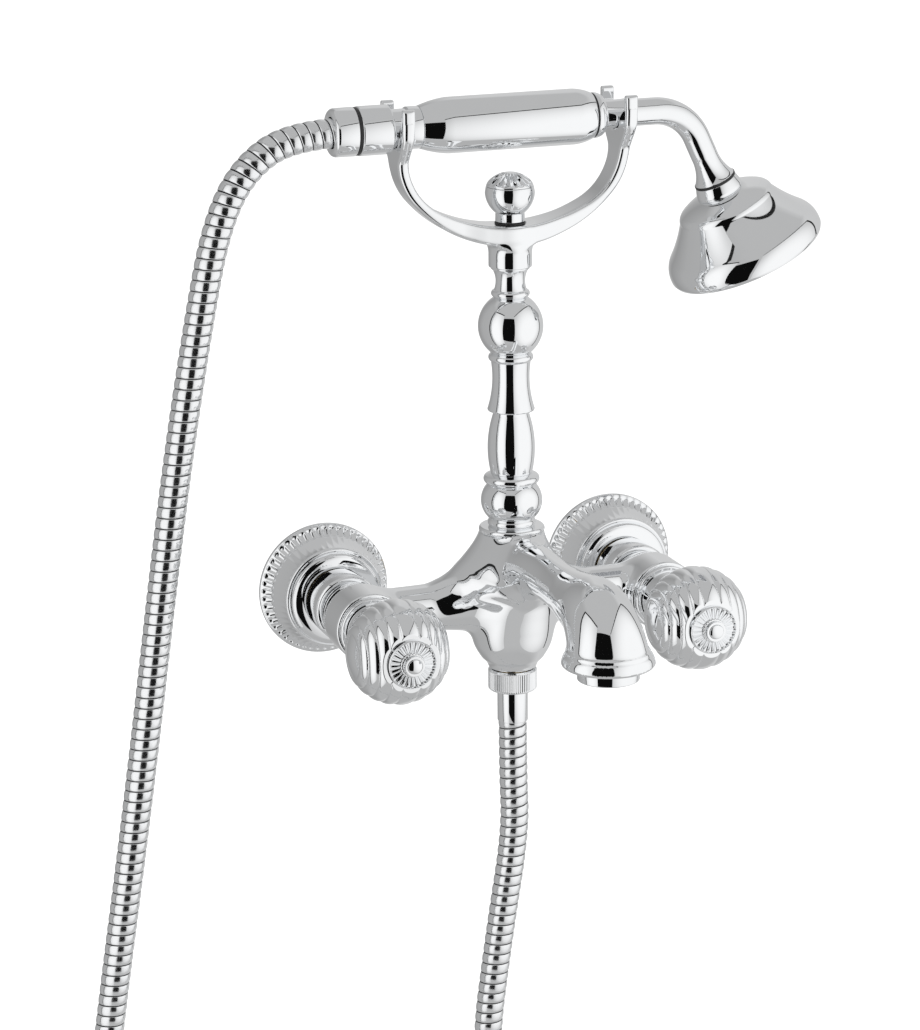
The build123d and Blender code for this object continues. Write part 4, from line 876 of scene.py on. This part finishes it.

# %% [markdown]
# # The hose
# A shower hose is a metal strip wound round a bore: one raised rib that climbs like a thread,
# with a thin groove and a small step between its turns. It could be a bevelled curve, but that
# is smooth. So the curve only gives the centreline, and a grid is carried along it whose rows
# climb one turn of the strip in one round, so that the groove falls exactly on a row. The rows
# in the groove wear black rubber, as painted shade that draws the dark line in the groove.

# %% Hose centreline
HOSE_ROUTE = [
    (-80.6, 236.0), (-106.2, 236.0), (-128.3, 223.0), (-142.2, 199.0), (-152.0, 156.0), (-167.4, 71.0),
    (-187.4, -70.0), (-206.4, -188.0), (-219.0, -282.0), (-223.0, -374.0), (-211.0, -458.0), (-178.0, -525.0),
    (-117.0, -559.0), (-54.0, -538.0), (-17.0, -482.0), (-3.0, -400.0), (-8.0, -312.0), (-16.5, -232.0),
    (-7.5, -166.0), (1.2, -114.0), (0.0, -84.0), (0.0, -57.0),
]
route = bpy.data.curves.new("hose_route", "CURVE")
route.dimensions = "3D"
strand = route.splines.new("NURBS")
strand.points.add(len(HOSE_ROUTE) - 1)
for knot, (x, z) in zip(strand.points, HOSE_ROUTE):
    knot.co = (x / 1000, -COLUMN_REACH / 1000, z / 1000, 1)
strand.order_u = 3
strand.use_endpoint_u = True
strand.resolution_u = 24
line_object = bpy.data.objects.new("hose_route", route)
scene.collection.objects.link(line_object)
bpy.context.view_layer.update()
sampled = bpy.data.meshes.new_from_object(line_object)
centre = np.array([v.co[:] for v in sampled.vertices]) * 1000
bpy.data.objects.remove(line_object)
far = np.r_[0, np.cumsum(np.linalg.norm(np.diff(centre, axis=0), axis=1))]
print("hose", round(far[-1], 1), "mm along its line")

# %% Ribbed hose
STRIP = 5.1                    # mm, about how far one turn of the strip climbs
TURNS = round(far[-1] / STRIP)
PHASE = np.array([0.0, 0.025, 0.05, 0.12, 0.26, 0.40, 0.54, 0.70, 0.86, 0.965])
RIDGE = np.array([6.30, 6.30, 6.62, 6.76, 6.91, 6.99, 7.00, 6.95, 6.81, 6.64])
GROOVE_SHADE_ROWS = (0, 1, 9)               # rows of a turn that lie in the groove, painted dark as shade


def wound_hose(columns=32):
    """Grid of place + radius(phase) * (cos * Y + sin * (tangent x Y)). Along the line s = (turn +
    phase) * pitch + pitch * angle / turn, cut off at both ends."""
    pitch = far[-1] / TURNS
    phase = (np.arange(-1, TURNS + 1)[:, None] + PHASE).ravel()
    three_turns = (np.arange(3)[:, None] + PHASE).ravel()
    rise = np.gradient(np.tile(RIDGE, 3), three_turns)[len(PHASE):-len(PHASE)]
    radius, slope = np.tile(RIDGE, TURNS + 2), np.tile(rise, TURNS + 2)
    share = np.arange(columns) / columns
    s = np.clip((phase[:, None] + share) * pitch, 0, far[-1])
    ends = np.gradient(centre, far, axis=0)
    place, ahead = (np.stack([np.interp(s, far, v[:, k]) for k in range(3)], -1) for v in (centre, ends))
    ahead = unit(ahead)
    side = np.array([0.0, 1.0, 0.0])
    other = np.cross(ahead, side)
    angle = 2 * pi * share[None, :, None]
    out = np.cos(angle) * side + np.sin(angle) * other
    round_about = np.cos(angle) * other - np.sin(angle) * side
    radius, slope = radius[:, None, None], slope[:, None, None]
    facing = out - slope / pitch * ahead + slope / (2 * pi * radius) * round_about
    points = place + radius * out
    rows = len(phase)
    first = (s <= 0).sum(0) - 1
    last = rows - (s >= far[-1]).sum(0)
    row = np.clip(np.arange(rows)[:, None], first, last)
    number = row * columns + np.arange(columns)
    one_turn_on = np.minimum(np.arange(rows) + len(PHASE), rows - 1)
    beside = np.c_[number[:, 1:], number[one_turn_on, :1]]
    faces = np.stack([number[:-1], number[1:], beside[1:], beside[:-1]], -1).reshape(-1, 4)
    faces = [tuple(dict.fromkeys(face)) for face in faces.tolist()]
    # Faces in the groove rows take the second material, black rubber, as painted shade.
    groove_shade = np.isin(np.arange(rows - 1) % len(PHASE), GROOVE_SHADE_ROWS).repeat(columns)
    groove_shade = [int(dark) for dark, face in zip(groove_shade, faces) if len(face) > 2] + [0, 0]
    faces = [face for face in faces if len(face) > 2]
    faces += [(end * columns + np.arange(columns)).tolist() for end in (first, last)]
    faces[-1] = faces[-1][::-1]
    used, index = np.unique(np.concatenate([np.array(face) for face in faces]), return_inverse=True)
    cuts = np.cumsum([len(face) for face in faces])[:-1]
    faces = [part.tolist() for part in np.split(index, cuts)]
    return points.reshape(-1, 3)[used], faces, facing.reshape(-1, 3)[used], groove_shade


points, faces, facing, groove_shade = wound_hose()
hose = mesh_piece("ribbed_hose", points, faces, facing, "hose", wound_chrome)
# The black rubber on the groove rows is painted shade: the dark line in the groove.
hose.data.materials.append(FINISH["black_rubber"])
hose.data.polygons.foreach_set("material_index", groove_shade)
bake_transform(hose)

# %% [markdown]
# # Faces that look down
# The spray plate has rings of soft nozzles and the aerator a fine grid. Both are a disc whose
# height is a function of the place on it: a bump wherever the nearest nozzle is close.

# %% Spray plate and aerator
RINGS = ((0.0, 1), (7.0, 6), (14.0, 12), (21.0, 18), (28.0, 24))   # radius and number of nozzles
NOZZLE_RADIUS, NOZZLE_HEIGHT = 1.5, 1.3
PIT_SPACING, PIT_DEPTH, PITS_RADIUS = 1.7, 0.7, 9.2
CHAMFER = 0.3


def disc(node, where, radius, low, high, relief, rows, columns):
    """Disc from `low` to `high` along its axis. relief(radius, angle) is added to the lower face."""
    r = np.linspace(NEARLY_AXIS, radius - CHAMFER, rows)[:, None]
    angle = np.linspace(0, 2 * pi, columns, endpoint=False)[None, :]
    face = low + relief(r, angle)
    r = np.vstack([r, [[radius]], [[radius]], [[NEARLY_AXIS]]])
    height = np.vstack([face, np.full((1, columns), low + CHAMFER), np.full((2, columns), high)])
    points = turn(where, np.c_[r[:, 0], r[:, 0]], columns, lambda radii, heights, angles: (radii, height))
    return grid_piece("face_" + node, points, False, node)


def nozzles(r, angle):
    """Nearest nozzle of each ring: hypot(r - ring, ring * turn to the nearest), and a bump where
    that is less than the nozzle's radius."""
    rise = 0
    for ring, count in RINGS:
        swing = (angle * count / (2 * pi) + 0.5) % 1 - 0.5
        apart = np.hypot(r - ring, ring * swing * 2 * pi / count)
        rise = np.maximum(rise, np.clip((NOZZLE_RADIUS - apart) / 0.5, 0, 1))
    return -NOZZLE_HEIGHT * rise * rise * (3 - 2 * rise)


def mesh_cells(r, angle):
    """Small square pits: where both |sin| of the place across are large."""
    across = np.abs(np.sin(pi * r * np.cos(angle) / PIT_SPACING))
    up = np.abs(np.sin(pi * r * np.sin(angle) / PIT_SPACING))
    return PIT_DEPTH * np.clip(np.minimum(across, up) * 2.4 - 0.7, 0, 1) * (r < PITS_RADIUS)


disc("spray_plate", HEAD, SPRAY, 1.4, 4.6, nozzles, 110, 480)
disc("aerator_insert", MOUTH, 10.3, 2.4, 12.1, mesh_cells, 60, 300)
turned("diverter_rod", COLUMN, (0, -8.0), (2.5, -8.0), (2.5, 200.9), (0, 200.9), columns=48)

# %% [markdown]
# # The studio
# Chrome shows the room, so the room is most of its look. In the photograph two white panels
# stand to the left and right of the camera, with a dark gap between them where the camera is:
# that gap is the black strip down the middle of every round part. Each panel has a dark frame
# behind it, whose edge draws a thin line on the metal. Only reflections see these sheets.

# %% Panels and card
TOWARD = np.array([-sin(TURN), -cos(TURN), 0.0])     # from the object to the camera, level
BESIDE = np.array([cos(TURN), -sin(TURN), 0.0])
MIDST = np.array([0.0, -0.065, 0.0])                 # the panels stand round the column
NOT_REFLECTED = ("camera", "diffuse", "shadow", "transmission")


def glowing(name, middle, rim):
    """Material that gives off a grey, `middle` in the middle of the sheet and `rim` at its corners."""
    made = bpy.data.materials.new(name)
    made.use_nodes = True
    tree = made.node_tree
    tree.nodes.remove(tree.nodes["Principled BSDF"])
    strength = middle
    if rim != middle:
        place = add(tree, "TexCoord")
        half = add(tree, "VectorMath", {0: place.outputs["Object"], "Scale": 0.75}, operation="SCALE")
        ball = add(tree, "TexGradient", {0: half.outputs[0]}, gradient_type="SPHERICAL")
        fall = add(
            tree, "MapRange", {"Value": ball.outputs["Fac"], "From Max": 0.75, "To Min": rim, "To Max": middle},
            interpolation_type="SMOOTHSTEP",
        )
        strength = fall.outputs["Result"]
    glow = add(tree, "Emission", {"Strength": strength})
    feed(tree.nodes["Material Output"], {"Surface": glow.outputs["Emission"]})
    return made


def staged(name, points, faces, finish, hidden_from):
    """Sheet of the studio, which is no part of the mixer, and the kinds of ray that miss it."""
    mesh = bpy.data.meshes.new(name)
    mesh.from_pydata(points, [], faces)
    mesh.materials.append(finish)
    sheet = bpy.data.objects.new(name, mesh)
    scene.collection.objects.link(sheet)
    for ray in hidden_from:
        setattr(sheet, "visible_" + ray, False)
    return sheet


def panel(name, facing, away, left, right, low, high, middle, rim, lean=0.0, drop=0.0):
    """Upright sheet `away` metres from the column at an angle from the camera's side, between two
    angles and two heights. `lean` moves the left end of its top edge to the right, and `drop`
    lowers the right end of its bottom edge, as shares of its half size."""
    angle = radians(facing)
    out = cos(angle) * TOWARD + sin(angle) * BESIDE
    along = -sin(angle) * TOWARD + cos(angle) * BESIDE
    a, b = away * np.tan(radians(left - facing)), away * np.tan(radians(right - facing))
    corners = [(-1, -1, 0), (1, -1 - drop, 0), (1, 1, 0), (-1 + lean, 1, 0)]
    sheet = staged(name, corners, [(0, 1, 2, 3)], glowing(name, middle, rim), NOT_REFLECTED)
    middle_at = MIDST + out * away + along * (a + b) / 2 + np.array([0, 0, (low + high) / 2])
    columns = np.c_[along * (b - a) / 2, [0, 0, (high - low) / 2], out, middle_at]
    sheet.matrix_world = Matrix(columns.tolist() + [[0, 0, 0, 1]])
    print(name, "from", left, "to", right, "degrees")


panel("panel_left", -52, 0.50, -76, -28, -0.60, 0.59, 1.03, 0.70)
panel("panel_left_frame", -52, 0.51, -80, -28, -0.60, 0.65, 0.02, 0.02)
panel("panel_right", 66, 0.45, 15, 118, -0.60, 0.675, 1.01, 0.60)
panel("panel_right_frame", 66, 0.46, 15, 122, -0.60, 0.73, 0.02, 0.02)
panel("dark_card", -7, 0.49, -30, 14, -0.27, 0.45, 0.004, 0.004, lean=0.16, drop=0.3)

# %% [markdown]
# # The tent
# What lies between and behind the panels is grey in the photograph, darker on one side than on
# the other. A picture of a studio could do that. Here it is a large ball of glowing cloth, whose
# grey comes from the direction seen from its middle: one ramp round the walls, and two plain
# greys mixed in above and below. Only reflections see it.

# %% Tent
TENT_RADIUS = 5.0              # m, round the column
TENT_ROWS, TENT_COLUMNS = 33, 64
WALLS = (                      # degrees from the camera's side, and the grey there
    (-180, 0.62), (-165, 0.42), (-150, 0.32), (-115, 0.42), (-80, 0.44), (-20, 0.50), (20, 0.50),
    (120, 0.62), (150, 0.60), (180, 0.64),
)
CEILING, GROUND = (0.70, 0.80, 0.50), (-0.72, -0.86, 0.46)   # from and to this rise, and the grey

cloth = glowing("tent_cloth", 1.0, 1.0)
tree = cloth.node_tree
place = add(tree, "TexCoord")
direction = add(tree, "VectorMath", {0: place.outputs["Object"]}, operation="NORMALIZE")
parts = []
for vector in (TOWARD.tolist(), BESIDE.tolist(), (0.0, 0.0, 1.0)):
    along = add(tree, "VectorMath", {0: direction.outputs["Vector"], 1: vector}, operation="DOT_PRODUCT")
    parts.append(along.outputs["Value"])
to_camera, to_side, upward = parts
angle = add(tree, "Math", {0: to_side, 1: to_camera}, operation="ARCTAN2")
share = add(tree, "MapRange", {"Value": angle.outputs[0], "From Min": -pi, "From Max": pi})
walls = add(tree, "ValToRGB", {"Fac": share.outputs["Result"]})
while len(walls.color_ramp.elements) < len(WALLS):
    walls.color_ramp.elements.new(0.5)
for stop, (round_wall, grey) in zip(walls.color_ramp.elements, WALLS):
    stop.position = (round_wall + 180) / 360
    stop.color = (grey, grey, grey, 1)
room = walls.outputs["Color"]
for low, high, grey in (CEILING, GROUND):
    rise = add(tree, "MapRange", {"Value": upward, "From Min": low, "From Max": high}).outputs["Result"]
    room = add(tree, "MixRGB", {"Fac": rise, "Color1": room, "Color2": (grey, grey, grey, 1)}).outputs["Color"]
feed(tree.nodes["Emission"], {"Color": room})
fall, rounds = np.linspace(0, pi, TENT_ROWS)[:, None], np.linspace(0, 2 * pi, TENT_COLUMNS, endpoint=False)
ball = [np.sin(fall) * np.cos(rounds), np.sin(fall) * np.sin(rounds), np.cos(fall) + 0 * rounds]
ball = (TENT_RADIUS * np.stack(ball, -1)).reshape(-1, 3).tolist()
staged("tent", ball, grid_faces(TENT_ROWS, TENT_COLUMNS, False), cloth, NOT_REFLECTED)
print("tent of", len(ball), "points and", len(WALLS), "greys")

# %% [markdown]
# # World, floor and lamps
# The background is plain white for the camera and for rays that were reflected or went through
# something, and a grey that lights the dull parts. The floor glows a little for the camera, so
# that it is as pale as the background, and two soft lamps light what isn't metal.

# %% World, floor and lamps
BEHIND, FLOOR_HEIGHT, FLOOR_HALF, FLOOR_GLOW = 0.55, -0.6, 14, 0.7


def either(tree, first, second, operation):
    """1 for a ray of the one kind or of the other."""
    return add(tree, "Math", {0: first, 1: second}, operation=operation, use_clamp=True).outputs[0]


world = bpy.data.worlds.new("studio")
scene.world = world
world.use_nodes = True
tree = world.node_tree
rays = add(tree, "LightPath").outputs
shown = either(tree, rays["Is Camera Ray"], rays["Is Glossy Ray"], "MAXIMUM")
shown = either(tree, shown, rays["Is Transmission Ray"], "MAXIMUM")
white = add(tree, "MixRGB", {"Fac": shown, "Color1": (BEHIND, BEHIND, BEHIND, 1), "Color2": (1, 1, 1, 1)})
feed(tree.nodes["Background"], {"Color": white.outputs["Color"]})

ground = bpy.data.materials.new("pale_floor")
ground.use_nodes = True
tree = ground.node_tree
dull = tree.nodes["Principled BSDF"]
feed(dull, {"Base Color": (0.8, 0.8, 0.8, 1), "Roughness": 0.9, "Specular IOR Level": 0.0})
rays = add(tree, "LightPath").outputs
seen = either(tree, rays["Is Camera Ray"], rays["Is Transmission Ray"], "ADD")
strength = add(tree, "Math", {0: seen, 1: FLOOR_GLOW}, operation="MULTIPLY")
glow = add(tree, "Emission", {"Strength": strength.outputs[0]})
both = add(tree, "AddShader", {0: dull.outputs["BSDF"], 1: glow.outputs["Emission"]})
feed(tree.nodes["Material Output"], {"Surface": both.outputs["Shader"]})
corners = [(x * FLOOR_HALF, y * FLOOR_HALF, FLOOR_HEIGHT) for x, y in ((-1, -1), (1, -1), (1, 1), (-1, 1))]
staged("floor", corners, [(0, 1, 2, 3)], ground, ("glossy",))


def lamp(name, place, power, size):
    """Soft square lamp that looks at the column. It lights dull surfaces, and no mirror shows it."""
    light = bpy.data.lights.new(name, "AREA")
    light.energy, light.size = power, size
    held = bpy.data.objects.new(name, light)
    ray = unit(np.array(place) - MIDST)
    side = unit(np.cross([0, 0, 1], ray))
    held.matrix_world = Matrix(np.c_[side, np.cross(ray, side), ray, place].tolist() + [[0, 0, 0, 1]])
    held.visible_glossy = False
    scene.collection.objects.link(held)
    print(name, power, "W")


lamp("key_lamp", (-1.2, -1.8, 2.4), 40, 1.6)
lamp("fill_lamp", (1.8, -1.4, 1.2), 15, 1.6)
scene.view_settings.view_transform = "Standard"
